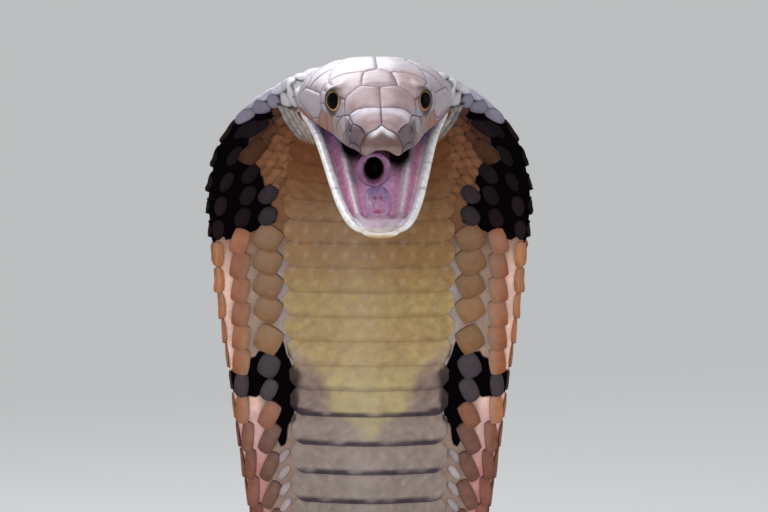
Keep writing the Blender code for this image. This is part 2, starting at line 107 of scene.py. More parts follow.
SKIN_START = -0.0015  # its first row is tucked under the back of the head
SKIN_ROWS = ((0.0, 0), (0.22, 180), (BODY_LENGTH, 620))  # rows by station, closer in the hood


def smooth(share):
    """0 to 1 with level ends."""
    share = np.clip(share, 0.0, 1.0)
    return share * share * (3 - 2 * share)


def bump(value, middle, width):
    """1 at the middle, falling away on both sides."""
    return np.exp(-(((value - middle) / width) ** 2))


def mix(first, second, share):
    """Colours or lengths between two others."""
    share = np.asarray(share, float)[..., None]
    return np.asarray(first, float) * (1 - share) + np.asarray(second, float) * share


def curve(table, at):
    """A smooth curve through (station, value) points that never overshoots them."""
    xs, ys = np.array(table, float).T
    at = np.clip(np.asarray(at, float), xs[0], xs[-1])
    steps = np.diff(ys) / np.diff(xs)
    product = steps[:-1] * steps[1:]
    total = np.where(product > 0, steps[:-1] + steps[1:], 1.0)
    slopes = np.concatenate([[0.0], np.where(product > 0, 2 * product / total, 0.0), [0.0]])
    i = np.clip(np.searchsorted(xs, at, side="right") - 1, 0, len(steps) - 1)
    span = xs[i + 1] - xs[i]
    u = (at - xs[i]) / span
    return (
        ys[i]
        + (ys[i + 1] - ys[i]) * u * u * (3 - 2 * u)
        + span * u * (1 - u) * (slopes[i] * (1 - u) - slopes[i + 1] * u)
    )


def rise_angle(up):
    """Slope of the spine at a length up from where it leaves the floor."""
    nod = np.clip((up - (RAISED - NOD_ARC)) / NOD_ARC, 0.0, 1.0)
    return np.radians(
        RISE_ANGLE * smooth(up / RISE_ARC)
        - LEAN_ANGLE * smooth((up - RISE_ARC) / LEAN_ARC)
        - NOD_ANGLE * nod * nod * (2 - nod)
    )


def coil_turning(back):
    """Curvature of the spine on the floor, at a length back from where it touches down."""
    first = smooth(back / FIRST_BEND_EASE) / FIRST_BEND_RADIUS
    loose = 1 / np.sqrt(COIL_RADIUS**2 + COIL_STEP * np.maximum(back - COIL_WIDENS, 0.0) / math.pi)
    into_loose = smooth((back - COIL_START) / COIL_EASE)
    turning = first * (1 - into_loose) + loose * into_loose
    wave = np.sin(2 * math.pi * (back - COIL_SWAY_FROM) / COIL_SWAY_LENGTH)
    sway = wave * smooth((back - COIL_SWAY_START) / COIL_SWAY_START)
    relax = smooth((back - (BODY_LENGTH - RAISED - TAIL_RELAX_LENGTH)) / TAIL_RELAX_EASE)
    return turning * (1 + COIL_SWAY * sway) * (1 - TAIL_RELAX * relax)


def rest_height(station):
    return curve(WING_HALF_DEPTH, np.maximum(station, RAISED)) * BELLY_SHARE - BELLY_FLAT


def trace_spine():
    """Places, ways to the head, ways to the back and ways to the right, at every millimetre from the head."""
    foot = round(RAISED / SPINE_STEP)
    count = round(BODY_LENGTH / SPINE_STEP) + 1
    up = np.arange(foot + 1) * SPINE_STEP
    slope = rise_angle(up)[:, None]
    near_head = smooth((up - (RAISED - NOD_ARC)) / NOD_ARC)
    turn = math.radians(HEAD_TURN) * near_head
    level = np.stack([np.sin(turn), -np.cos(turn), 0 * turn], axis=1)
    upright = np.array([0.0, 0.0, 1.0])
    ahead = level * np.cos(slope) + upright * np.sin(slope)
    back = upright * np.cos(slope) - level * np.sin(slope)
    place = np.vstack([[0.0, 0.0, 0.0], np.cumsum(ahead[:-1], axis=0) * SPINE_STEP])
    place += (*TOUCH_DOWN, float(rest_height(RAISED)))
    place[:, 0] += HEAD_ASIDE * near_head
    raised = [way[::-1] for way in (place, ahead, back)]

    run = np.arange(count - foot) * SPINE_STEP
    heading = math.pi / 2 + np.concatenate([[0.0], np.cumsum(coil_turning(run[:-1])) * SPINE_STEP])
    tailward = np.stack([np.cos(heading), np.sin(heading), 0 * heading], axis=1)
    place = np.vstack([[0.0, 0.0, 0.0], np.cumsum(tailward[1:], axis=0) * SPINE_STEP])
    place[:, :2] += TOUCH_DOWN
    place[:, 2] = rest_height(run + RAISED)
    lying = (place, -tailward, np.tile(upright, (len(run), 1)))
    place, ahead, back = (np.vstack([a[:-1], b]) for a, b in zip(raised, lying))
    return place, ahead, back, np.cross(ahead, back)


SPINE = trace_spine()


def spine_at(station):
    at = np.clip(np.asarray(station, float) / SPINE_STEP, 0.0, len(SPINE[0]) - 1.001)
    k = at.astype(int)
    part = (at - k)[..., None]
    return tuple(way[k] * (1 - part) + way[k + 1] * part for way in SPINE)


def section(station, angle):
    """How far across and below the spine the skin is, with the angle 0 at the belly and pi at the back."""
    out, down = np.sin(angle), np.cos(angle)
    core = np.where(down > 0, curve(CORE_BELLY, station), curve(CORE_BACK, station))
    core = np.copysign(core * np.abs(down) ** CORE_SHARPNESS, down)
    depth = curve(WING_HALF_DEPTH, station) * np.where(down > 0, BELLY_SHARE, 1.0)
    return curve(HALF_WIDTH, station) * out, depth * down + core + curve(HOOD_CUP, station) * out * out


def body_place(station, angle):
    place, _, back, right = spine_at(station)
    across, below = section(station, angle)
    return place + right * across[..., None] - back * below[..., None]


HEAD_LENGTH = 0.080
HINGE = 0.056  # from the snout to the corner of the mouth
GAPE = math.radians(27.0)
HEAD_HALF_WIDTH = (
    (0.0, 0.0062), (0.001, 0.0078), (0.003, 0.0094), (0.008, 0.0112), (0.016, 0.0134), (0.026, 0.0160),
    (0.036, 0.0192), (0.046, 0.0222), (0.056, 0.0246), (0.066, 0.0256), (0.080, 0.0255),
)
HEAD_TOP = (
    (0.0, 0.0074), (0.001, 0.0086), (0.003, 0.0098), (0.008, 0.0124), (0.015, 0.0152), (0.022, 0.0168),
    (0.032, 0.0180), (0.050, 0.0188), (0.060, 0.0182), (0.070, 0.0152), (0.080, 0.0106),
)
HEAD_SQUARENESS = ((0.0, 2.6), (0.015, 2.9), (0.030, 2.8), (0.060, 2.5), (0.080, 2.1))
LIP_TUCK = ((0.0, 0.0), (0.012, 0.0006), (0.026, 0.0016), (0.056, 0.0024), (0.080, 0.0))
TUCK_HEIGHT = 0.45
LIP_LOBE, LIP_LOBE_AT, LIP_LOBE_WIDTH = 0.0018, 0.0049, 0.0023
LIP_LOBE_LENGTH = (0.004, 0.010)
BROW_LIFT, BROW_AT, BROW_LENGTH, BROW_HEIGHT, BROW_DEPTH = 0.0011, 0.027, 0.0075, 0.62, 0.24
BROW_SLANT = 0.4
LOWER_DEPTH, LOWER_SQUARENESS = 0.0105, 2.4


def powered(value, power):
    return np.copysign(np.abs(value) ** power, value)


def from_head(points):
    """World places of points in the head's frame: x to its right, y to the snout, z up from the lips."""
    place, ahead, back, right = (way[0] for way in SPINE)
    return place + points[..., :1] * right + points[..., 1:2] * ahead + points[..., 2:] * back


def lip_height(across, behind):
    """The line of the upper lips, which hangs in two lobes beside the notch at the front."""
    lobe = bump(np.abs(across), LIP_LOBE_AT, LIP_LOBE_WIDTH)
    return -LIP_LOBE * lobe * (1 - smooth((behind - LIP_LOBE_LENGTH[0]) / LIP_LOBE_LENGTH[1]))


def lip_half_width(behind):
    return curve(HEAD_HALF_WIDTH, behind) - curve(LIP_TUCK, behind)


def crown_points(behind, angle):
    """Crown and cheeks, at distances behind the snout. The angle is pi at the crown."""
    out, up = np.sin(angle), np.abs(np.cos(angle))
    power = 2 / curve(HEAD_SQUARENESS, behind)
    x = curve(HEAD_HALF_WIDTH, behind) * powered(out, power)
    x = x - np.copysign(curve(LIP_TUCK, behind) * np.maximum(1 - up / TUCK_HEIGHT, 0.0) ** 2, x)
    lip = lip_height(x, behind)
    z = lip + (curve(HEAD_TOP, behind) - lip) * up**power
    brow = BROW_LIFT * bump(behind, BROW_AT, BROW_LENGTH) * bump(up, BROW_HEIGHT, BROW_DEPTH)
    return np.stack([x + np.copysign(brow, x), HEAD_LENGTH - behind + 0 * x, z + BROW_SLANT * brow], axis=-1)


def under_points(behind, angle):
    """The lower side between the corners of the mouth and the neck, leaning with the open jaw."""
    out, in_ = np.sin(angle), np.abs(np.cos(angle))
    to_neck = smooth((behind - HINGE) / (HEAD_LENGTH - HINGE))
    below = LOWER_DEPTH * in_ ** (2 / LOWER_SQUARENESS)
    lean = GAPE * (1 - to_neck)
    x = lip_half_width(behind) * powered(out, 2 / LOWER_SQUARENESS)
    return np.stack([x, HEAD_LENGTH - behind - below * np.sin(lean), -below * np.cos(lean)], axis=-1)


def head_points(behind, angle):
    """The whole section of the head, which turns into the neck's behind the corners of the mouth."""
    behind, angle = np.broadcast_arrays(np.asarray(behind, float), np.asarray(angle, float))
    upper = (np.cos(angle) < 0)[..., None]
    points = np.where(upper, crown_points(behind, angle), under_points(behind, angle))
    across, below = section(np.zeros(angle.shape), angle)
    neck = np.stack([across, HEAD_LENGTH - behind, -below], axis=-1)
    to_neck = smooth((behind - HINGE) / (HEAD_LENGTH - HINGE))[..., None]
    return points + (neck - points) * to_neck


def coat_place(station, angle):
    """A place on the outside of the snake. Stations before 0 are on the back of the head."""
    station, angle = np.broadcast_arrays(np.asarray(station, float), np.asarray(angle, float))
    on_head = from_head(head_points(HEAD_LENGTH + np.minimum(station, 0.0), angle))
    return np.where((station < 0)[..., None], on_head, body_place(np.maximum(station, 0.0), angle))


def coat_normal(station, angle):
    """The way straight out of the coat."""
    round_ = coat_place(station, angle + 0.01) - coat_place(station, angle - 0.01)
    along = coat_place(station + 0.001, angle) - coat_place(station - 0.001, angle)
    out = np.cross(round_, along)
    return out / np.maximum(np.linalg.norm(out, axis=-1, keepdims=True), 1e-12)


def on_coat(station, angle, height):
    """Places at a height over the coat's own surface, and never under the floor."""
    place = coat_place(station, angle) + coat_normal(station, angle) * np.asarray(height)[..., None]
    place[..., 2] = np.maximum(place[..., 2], 0.0)
    return place


SCUTE_HALF_WIDTH = 0.0262
SCUTE_SHARE = 0.82  # of the half width, that a scute takes at most on the slimmer trunk and tail
NAPE_LENGTH = 0.024  # of the head's back, which the coat still covers
HOOD_STATIONS = np.arange(-NAPE_LENGTH, 0.30, 0.003)
GIRTH_STATIONS = np.concatenate([HOOD_STATIONS, np.arange(0.30, BODY_LENGTH + 0.005, 0.010)])
GIRTH_ANGLES = np.linspace(0.0, math.pi, 241)
GIRTH_SHARES = np.linspace(0.0, 1.0, 161)


def measure_girths():
    """Half girths, angles at even shares of them, and shares of the scutes' ends and the rim, by station."""
    places = coat_place(GIRTH_STATIONS[:, None], GIRTH_ANGLES[None, :])
    runs = np.cumsum(np.linalg.norm(np.diff(places, axis=1), axis=2), axis=1)
    runs = np.hstack([np.zeros((len(runs), 1)), runs])
    shares = runs / runs[:, -1:]
    angles = np.array([np.interp(GIRTH_SHARES, row, GIRTH_ANGLES) for row in shares])
    half_widths = curve(HALF_WIDTH, GIRTH_STATIONS)
    ends = np.arcsin(np.minimum(SCUTE_HALF_WIDTH / half_widths, SCUTE_SHARE))
    ends = np.array([np.interp(end, GIRTH_ANGLES, row) for end, row in zip(ends, shares)])
    rims = np.array([np.interp(math.pi / 2, GIRTH_ANGLES, row) for row in shares])
    return runs[:, -1], angles, ends, rims


HALF_GIRTHS, SHARE_ANGLES, SCUTE_ENDS, RIMS = measure_girths()


def half_girth(station):
    return np.interp(station, GIRTH_STATIONS, HALF_GIRTHS)


def angle_at(station, share):
    """The angle at a share of the half girth from the belly. Shares below 0 are on the left side."""
    share = (share + 1) % 2 - 1
    i = np.interp(station, GIRTH_STATIONS, np.arange(len(GIRTH_STATIONS)))
    j = np.abs(share) * (len(GIRTH_SHARES) - 1)
    i0 = np.minimum(i.astype(int), len(GIRTH_STATIONS) - 2)
    j0 = np.minimum(j.astype(int), len(GIRTH_SHARES) - 2)
    u, v = i - i0, j - j0
    first = SHARE_ANGLES[i0, j0] * (1 - v) + SHARE_ANGLES[i0, j0 + 1] * v
    second = SHARE_ANGLES[i0 + 1, j0] * (1 - v) + SHARE_ANGLES[i0 + 1, j0 + 1] * v
    return np.copysign(first * (1 - u) + second * u, share)


# Markings, which the skin, the scutes and the scales all take from these functions
# Two black bands cross the front of the hood, with orange and salmon flanks between them.
# Behind them black bands with pale edges cross the back, as on a grown king cobra.

BLACK = (0.003, 0.002, 0.003)
BAND_SCALE = (0.011, 0.008, 0.011)
# The dark first rows of both scute tables, under the jaw, are partly painted shade.
SCUTE_CENTRE = (
    (0.0, (0.110, 0.031, 0.014)), (0.045, (0.165, 0.055, 0.016)), (0.060, (0.22, 0.099, 0.032)),
    (0.081, (0.297, 0.153, 0.047)), (0.096, (0.40, 0.272, 0.100)), (0.110, (0.430, 0.285, 0.115)),
    (0.124, (0.47, 0.360, 0.165)), (0.142, (0.42, 0.335, 0.175)), (0.200, (0.32, 0.255, 0.165)),
)
SCUTE_SIDE = (
    (0.0, (0.105, 0.031, 0.013)), (0.060, (0.165, 0.067, 0.025)), (0.081, (0.257, 0.136, 0.067)),
    (0.096, (0.40, 0.280, 0.150)), (0.110, (0.46, 0.330, 0.200)), (0.124, (0.24, 0.160, 0.130)),
    (0.140, (0.31, 0.235, 0.200)), (0.152, (0.31, 0.235, 0.205)), (0.180, (0.26, 0.205, 0.180)),
    (0.400, (0.20, 0.160, 0.130)), (1.000, (0.16, 0.130, 0.105)), (2.070, (0.12, 0.095, 0.078)),
    (2.520, (0.07, 0.055, 0.045)),
)
YELLOW_HALF_WIDTH = (
    (0.0, 0.040), (0.100, 0.036), (0.112, 0.024), (0.122, 0.0155), (0.132, 0.0130), (0.137, 0.0050),
    (0.143, 0.0010), (0.150, -0.0050),
)
# Edges of the two bands on the front: reach round from the belly by station, or station by reach
BAND_1_INNER = (
    (0.018, 0.042), (0.0265, 0.0345), (0.028, 0.0352), (0.030, 0.0365), (0.032, 0.0390), (0.0355, 0.0414),
    (0.039, 0.0424), (0.0435, 0.0416), (0.047, 0.0398), (0.051, 0.0366), (0.055, 0.0358), (0.059, 0.0322),
    (0.0625, 0.0335), (0.0675, 0.0317), (0.0705, 0.0350), (0.072, 0.0405), (0.0745, 0.0445), (0.076, 0.060),
)
BAND_1_TOP = ((0.036, 0.0245), (0.041, 0.0285), (0.045, 0.0305), (0.049, 0.0340), (0.056, 0.0370))
BAND_1_FOOT = 0.0755
BAND_2_TOP = (
    (0.0245, 0.1200), (0.0278, 0.1150), (0.0298, 0.1090), (0.0319, 0.1085), (0.0347, 0.1115),
    (0.0385, 0.1140), (0.0419, 0.1155), (0.0426, 0.1185), (0.0460, 0.1195), (0.0520, 0.1185),
)
BAND_2_FOOT = (
    (0.0240, 0.1265), (0.0265, 0.1345), (0.0285, 0.1450), (0.0305, 0.1465), (0.0325, 0.1430),
    (0.0335, 0.1370), (0.0345, 0.1280), (0.0420, 0.1290), (0.0465, 0.1275), (0.0520, 0.1265),
)
BAND_2_INNER = (
    (0.108, 0.0295), (0.115, 0.0270), (0.120, 0.0242), (0.126, 0.0255), (0.133, 0.0245), (0.139, 0.0285),
    (0.147, 0.029),
)
BAND_START, BAND_PERIOD, BAND_SHARE = 0.1215, 0.080, 0.24
BANDED_FLANK = 0.160  # from here back, the bands come down the flanks to the scutes
CHEVRON = 0.012  # how far each band runs forward along the middle of the back
OLIVE = (0.150, 0.098, 0.050)
TAN = (0.46, 0.345, 0.200)
# cream of the small painted highlights on the scutes of the hood
PAINTED_CREAM_GLINT = (0.52, 0.42, 0.31)


def shade_along(table, station):
    """The colour at a station, from a table of stations and colours."""
    stations = [at for at, _ in table]
    return np.stack([np.interp(station, stations, [c[k] for _, c in table]) for k in range(3)], axis=-1)


def above(value, edge, width):
    """0 below an edge and 1 above it, softly."""
    return smooth((value - edge) / width + 0.5)


def lookup(rows, station):
    return np.interp(station, GIRTH_STATIONS, rows)


def past_rim(station, reach):
    """0 on the front of the hood and 1 along the middle of the back."""
    half = half_girth(station)
    rim = lookup(RIMS, station) * half
    return smooth((reach - rim) / np.maximum(half - rim, 0.001))


def inside_band(forward):
    """How far inside a band of the back, as a share of the bands' period. Between bands it is below 0."""
    cycle = (forward - BAND_START) / BAND_PERIOD
    return 0.5 * BAND_SHARE - np.abs((cycle + 0.5) % 1.0 - 0.5)


def band_share(station, reach, soft=0.0016):
    """How black the banding is, at a reach round from the belly's middle. Its edges follow the scales."""
    station = station + 0.0005 * np.sin(reach * 1500 + 1.1) + 0.0004 * np.sin(reach * 3100 + station * 300)
    half = half_girth(station)
    rim = lookup(RIMS, station) * half
    first = above(reach, curve(BAND_1_INNER, station), soft)
    first *= above(station, curve(BAND_1_TOP, reach), 0.003) * above(-station, -BAND_1_FOOT, soft)
    second = above(reach, curve(BAND_2_INNER, station), soft) * above(station, curve(BAND_2_TOP, reach), soft)
    second *= above(-station, -curve(BAND_2_FOOT, reach), soft)
    forward = station + CHEVRON * past_rim(station, reach)
    first_back = above(forward, BAND_1_TOP[-1][1], 0.006) * above(-forward, -BAND_1_FOOT, soft)
    further = above(inside_band(forward) * BAND_PERIOD, 0.0, soft)
    further *= forward > BAND_START - 0.5 * BAND_PERIOD
    behind_rim = above(reach, rim + 0.001 + 0.002 * smooth((station - 0.1) / 0.01), 0.004)
    flank = above(reach, lookup(SCUTE_ENDS, station) * half + 0.002, 0.004) * (station > BANDED_FLANK)
    on_front = np.maximum(first, second) * (1 - behind_rim)
    return np.maximum.reduce([on_front, first_back * behind_rim, further * np.maximum(behind_rim, flank)])


def pale_edge(station, reach):
    """The pale edges along each band on the back and flanks."""
    from_band = -inside_band(station + CHEVRON * past_rim(station, reach))
    return bump(from_band, 0.07, 0.07) * smooth((station - 0.07) / 0.03)


def scute_colour(station, reach):
    """Ochre below the throat, darkened near the jaw by painted shade, then a yellow V between mauve sides,
    then grey, all with soft stains and small painted cream highlights.
    """
    yellow = above(-reach, -curve(YELLOW_HALF_WIDTH, station), 0.006)
    colour = mix(shade_along(SCUTE_SIDE, station), shade_along(SCUTE_CENTRE, station), yellow)
    across = reach + 0.004 * np.sin(station * 190 + 1.0)
    stain = np.sin(across * 430 + 2.2 * np.sin(station * 330))
    stain = stain * np.sin(station * 610 + 1.6 * np.sin(across * 370 + 0.6))
    colour = colour * (1 + 0.10 * stain)[..., None]
    # painted highlights: small cream glints on the scutes of the hood
    painted_glint = np.sin(across * 940 + 3.1 * np.sin(station * 245)) * np.sin(station * 700 + 2.0)
    painted_glint = smooth((painted_glint - 0.35) / 0.6) * smooth((station - 0.05) / 0.03) * smooth((0.3 - station) / 0.1)
    colour = mix(colour, PAINTED_CREAM_GLINT, 0.24 * painted_glint)
    return mix(colour, np.array(BLACK) * 4, 0.85 * band_share(station, reach + 0.0012, 0.003))


def flank_share(station, reach):
    """0 at the end of a scute and 1 at the rim of the hood."""
    half = half_girth(station)
    end = lookup(SCUTE_ENDS, station) * half
    return (reach - end) / np.maximum(lookup(RIMS, station) * half - end, 0.001)


NECK_LILAC, SHOULDER_PURPLE = (0.54, 0.52, 0.58), (0.165, 0.145, 0.205)


def neck_colour(station):
    """Pale lilac behind the head, darkening to purple on the shoulders of the hood."""
    return mix(NECK_LILAC, SHOULDER_PURPLE, smooth((station - 0.007) / 0.020))


# The folds of skin between the jaw and the throat: their reach round from the belly, by station
FOLD_INNER = (
    (0.0195, 0.0268), (0.0213, 0.0250), (0.0234, 0.0228), (0.0262, 0.0208), (0.0310, 0.0192),
    (0.0362, 0.0184),
)
FOLD_OUTER = (
    (0.0218, 0.0345), (0.0240, 0.0325), (0.0275, 0.0302), (0.0300, 0.0274), (0.0325, 0.0242),
    (0.0358, 0.0210),
)
FOLDS_END = 0.036
# Where the neck ends, as stations by reach round from the belly
NECK_EDGE = (
    (0.018, 0.010), (0.026, 0.019), (0.031, 0.0228), (0.0345, 0.0240), (0.0373, 0.0272), (0.0411, 0.0284),
    (0.0435, 0.0310), (0.0456, 0.0328), (0.0487, 0.0342), (0.056, 0.0365),
)


def on_neck(station, reach):
    """1 between the head and the edge of the hood's own markings, and down the folds beside the jaw."""
    neck = smooth((curve(NECK_EDGE, reach) + 0.0015 - station) / 0.0040)
    inner, outer = curve(FOLD_INNER, station), curve(FOLD_OUTER, station)
    folds = smooth((reach - inner + 0.001) / 0.001) * smooth((outer + 0.0005 - reach) / 0.001)
    return np.maximum(neck, folds * (station < FOLDS_END))


def under_shoulder(station, reach):
    """1 in the shadowed skin below the shoulders."""
    foot = 0.046 + 0.006 * smooth((reach - 0.038) / 0.003)
    deep = smooth((foot - station) / 0.010) * smooth((reach - 0.0295 - 0.25 * (station - 0.03)) / 0.006)
    return 0.8 * deep * smooth((station - 0.020) / 0.004)


# the throat's skin, darkened by painted shade under the jaw
SHADED_THROAT_SKIN = (0.215, 0.092, 0.040)
SCUTE_SKIN, MAUVE_SKIN, BROWN_SKIN = (0.42, 0.345, 0.325), (0.40, 0.280, 0.215), (0.34, 0.235, 0.190)
SALMON, DULL_SALMON, DEEP_SALMON = (0.97, 0.63, 0.53), (0.80, 0.48, 0.45), (0.68, 0.30, 0.29)
SALMON_EDGE = ((0.0, 0.0466), (0.118, 0.0466), (0.131, 0.0378), (0.160, 0.0366), (0.220, 0.0330))
NAPE_SKIN = (0.050, 0.040, 0.070)
BACK_SKIN = (0.085, 0.062, 0.045)
TRUNK_SKIN = (0.20, 0.15, 0.11)
SHADOWED_SKIN, SHADOWED_SCALE = (0.030, 0.014, 0.012), (0.045, 0.020, 0.014)


def skin_colour(station, reach):
    """The skin between the scales, from mauve beside the scutes to salmon along the rim of the hood."""
    along = flank_share(station, reach)
    salmon = mix(SALMON, DULL_SALMON, smooth((station - 0.127) / 0.01))
    salmon = mix(salmon, DEEP_SALMON, smooth((station - 0.142) / 0.012))
    between = mix(SCUTE_SKIN, MAUVE_SKIN, smooth((reach - 0.0300) / 0.003))
    between = mix(between, BROWN_SKIN, smooth((station - 0.130) / 0.008) * smooth((0.0345 - reach) / 0.002))
    front = mix(between, salmon, above(reach, curve(SALMON_EDGE, station), 0.0022))
    # darker skin on the throat below the jaw, partly painted shade
    front = mix(SHADED_THROAT_SKIN, front, smooth((station - 0.068) / 0.022))
    back = mix(NAPE_SKIN, BACK_SKIN, smooth((station - 0.045) / 0.03))
    colour = mix(front, back, smooth((along - 1.02) / 0.12))
    trunk = mix(BACK_SKIN, TRUNK_SKIN, smooth(1 - along))
    colour = mix(colour, trunk, smooth((station - 0.22) / 0.10))
    colour = mix(colour, SHADOWED_SKIN, under_shoulder(station, reach))
    return mix(colour, 0.62 * neck_colour(station), on_neck(station, reach))


OCHRE_SCALE, RUST_SCALE, ORANGE_SCALE = (0.245, 0.117, 0.042), (0.33, 0.105, 0.037), (0.42, 0.165, 0.064)
LOW_INNER_SCALE, LOW_OUTER_SCALE = (0.185, 0.085, 0.062), (0.235, 0.085, 0.055)
# scales of the chin and the throat, darkened near the jaw partly by painted shade
SHADED_CHIN_SCALE, SHADED_THROAT_SCALE = (0.150, 0.046, 0.017), (0.215, 0.085, 0.032)
INNER_BAND_SCALE, LOW_BAND_SCALE = (0.036, 0.027, 0.033), (0.066, 0.052, 0.062)


def scale_colour(station, reach):
    """A scale's colour, from where it is rooted, with painted shade below the shoulders and near the jaw."""
    along = flank_share(station, reach)
    edge = curve(SALMON_EDGE, station)
    front = mix(OCHRE_SCALE, RUST_SCALE, smooth((reach - edge + 0.008) / 0.004))
    front = mix(front, ORANGE_SCALE, smooth((reach - edge) / 0.003))
    lower = mix(LOW_INNER_SCALE, LOW_OUTER_SCALE, smooth((reach - edge + 0.002) / 0.004))
    front = mix(front, lower, smooth((station - 0.127) / 0.015))
    # the throat's scales darken towards the jaw, partly by painted shade
    throat = mix(SHADED_CHIN_SCALE, SHADED_THROAT_SCALE, smooth(station / 0.06))
    front = mix(throat, front, smooth((station - 0.055) / 0.018))
    back = mix(OLIVE, TAN, 0.85 * pale_edge(station, reach))
    back = mix(neck_colour(station), back, smooth((station - 0.036) / 0.02))
    colour = mix(front, back, smooth((along - 1.05) / 0.35))
    colour = mix(colour, back, smooth((station - 0.20) / 0.10))
    colour = mix(colour, SHADOWED_SCALE, under_shoulder(station, reach))
    colour = mix(colour, neck_colour(station), on_neck(station, reach))
    dark = mix(BAND_SCALE, INNER_BAND_SCALE, smooth((0.0390 - reach) / 0.003))
    low = smooth((station - 0.095) / 0.01) * smooth((0.20 - station) / 0.02) * smooth((1.15 - along) / 0.1)
    dark = mix(dark, LOW_BAND_SCALE, low)
    return mix(colour, dark, 0.98 * band_share(station, reach))


NOISE_RANGE = (0.3, 0.7)  # where nearly all of a noise texture lies
BAND_EDGE = (0.42, 0.58)  # the painted share of a band over which the skin turns black


def texture_node(tree, kind, scale, detail=None):
    """A texture read in the object's own metres."""
    place = tree.nodes.new("ShaderNodeTexCoord")
    node = tree.nodes.new(kind)
    node.inputs["Scale"].default_value = scale
    if detail is not None:
        node.inputs["Detail"].default_value = detail
    tree.links.new(place.outputs["Object"], node.inputs["Vector"])
    return node


def painted_value(tree, name, output):
    """What is painted on the points of the mesh under a name."""
    node = tree.nodes.new("ShaderNodeAttribute")
    node.attribute_name = name
    return node.outputs[output]


def ranged(tree, value, *limits):
    """A value moved from its first two limits to its last two."""
    node = tree.nodes.new("ShaderNodeMapRange")
    for socket, limit in zip(("From Min", "From Max", "To Min", "To Max"), limits):
        node.inputs[socket].default_value = limit
    tree.links.new(value, node.inputs["Value"])
    return node.outputs["Result"]


def shaded(tree, base, texture, low, high):
    """The base colour times a grey that runs from low to high with the texture."""
    blend = tree.nodes.new("ShaderNodeMix")
    blend.data_type = "RGBA"
    blend.blend_type = "MULTIPLY"
    blend.inputs["Factor"].default_value = 1.0
    tree.links.new(base, blend.inputs["A"])
    tree.links.new(ranged(tree, texture, *NOISE_RANGE, low, high), blend.inputs["B"])
    return blend.outputs["Result"]


def stained(tree, base, stain, share):
    """The base colour, turning into the stain's as the share rises."""
    blend = tree.nodes.new("ShaderNodeMix")
    blend.data_type = "RGBA"
    blend.inputs["B"].default_value = (*stain, 1.0)
    tree.links.new(share, blend.inputs["Factor"])
    tree.links.new(base, blend.inputs["A"])
    return blend.outputs["Result"]


def brightness(tree, colour):
    grey = tree.nodes.new("ShaderNodeRGBToBW")
    tree.links.new(colour, grey.inputs["Color"])
    return grey.outputs["Val"]


def bumped(tree, height, depth, under=None):
    node = tree.nodes.new("ShaderNodeBump")
    node.inputs["Strength"].default_value = 1.0
    node.inputs["Distance"].default_value = depth
    tree.links.new(height, node.inputs["Height"])
    if under is not None:
        tree.links.new(under, node.inputs["Normal"])
    return node.outputs["Normal"]


def new_finish(name):
    """A material, its node tree, its shader and the colour painted on the piece."""
    material = bpy.data.materials.new(name)
    material.use_nodes = True
    surface = material.node_tree.nodes["Principled BSDF"]
    return material, material.node_tree, surface, painted_value(material.node_tree, "colour", "Color")


def scale_finish(name, roughness, shine, grain_depth):
    """Horny scale: satin, a little mottled, with fine growth lines, and duller where it is black."""
    material, tree, surface, colour = new_finish(name)
    mottle = texture_node(tree, "ShaderNodeTexNoise", 420.0, 4.0).outputs["Fac"]
    grain = texture_node(tree, "ShaderNodeTexNoise", 2600.0, 3.0).outputs["Fac"]
    colour = shaded(tree, colour, mottle, 0.86, 1.12)
    colour = shaded(tree, colour, grain, 0.93, 1.06)
    rough = ranged(tree, mottle, *NOISE_RANGE, roughness - 0.07, roughness + 0.09)
    relief = bumped(tree, mottle, grain_depth * 2, bumped(tree, grain, grain_depth))
    gloss = ranged(tree, brightness(tree, colour), 0.02, 0.14, 0.01, shine)
    tree.links.new(colour, surface.inputs["Base Color"])
    tree.links.new(rough, surface.inputs["Roughness"])
    tree.links.new(gloss, surface.inputs["Specular IOR Level"])
    tree.links.new(relief, surface.inputs["Normal"])
    return material


def skin_finish():
    """Stretched skin between the scales: softer than scale, with fine creases, and black in the bands."""
    material, tree, surface, colour = new_finish("snake_skin")
    band = painted_value(tree, "band", "Fac")
    creases = texture_node(tree, "ShaderNodeTexVoronoi", 1300.0).outputs["Distance"]
    mottle = texture_node(tree, "ShaderNodeTexNoise", 300.0, 3.0).outputs["Fac"]
    colour = shaded(tree, colour, mottle, 0.82, 1.12)
    colour = stained(tree, colour, BLACK, ranged(tree, band, *BAND_EDGE, 0.0, 1.0))
    tree.links.new(colour, surface.inputs["Base Color"])
    tree.links.new(ranged(tree, mottle, *NOISE_RANGE, 0.50, 0.66), surface.inputs["Roughness"])
    tree.links.new(ranged(tree, band, *BAND_EDGE, 0.18, 0.0), surface.inputs["Specular IOR Level"])
    tree.links.new(bumped(tree, creases, 0.00012), surface.inputs["Normal"])
    return material


def add_piece(name, data, *materials):
    """A piece that rides with the still body."""
    for material in materials:
        data.materials.append(material)
    data.shade_smooth()
    piece = bpy.data.objects.new(name, data)
    bpy.context.scene.collection.objects.link(piece)
    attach(piece, "root")
    return piece


def painted_mesh():
    """An empty mesh whose points carry a colour."""
    mesh = bmesh.new()
    mesh.verts.layers.float_color.new("colour")
    return mesh


def add_sheet(mesh, places, colours, finish=0):
    """A sheet of faces through rows and columns of places, coloured at its points."""
    rows, columns = places.shape[:2]
    layer = mesh.verts.layers.float_color["colour"]
    made = bmesh.ops.create_grid(mesh, x_segments=columns - 1, y_segments=rows - 1, size=1.0)["verts"]
    colours = np.broadcast_to(colours, (rows, columns, 3)).reshape(-1, 3)
    for vert, place, colour in zip(made, places.reshape(-1, 3), colours):
        vert.co = place
        vert[layer] = (*colour, 1.0)
    if finish:
        for face in {face for vert in made for face in vert.link_faces}:
            face.material_index = finish
    return made


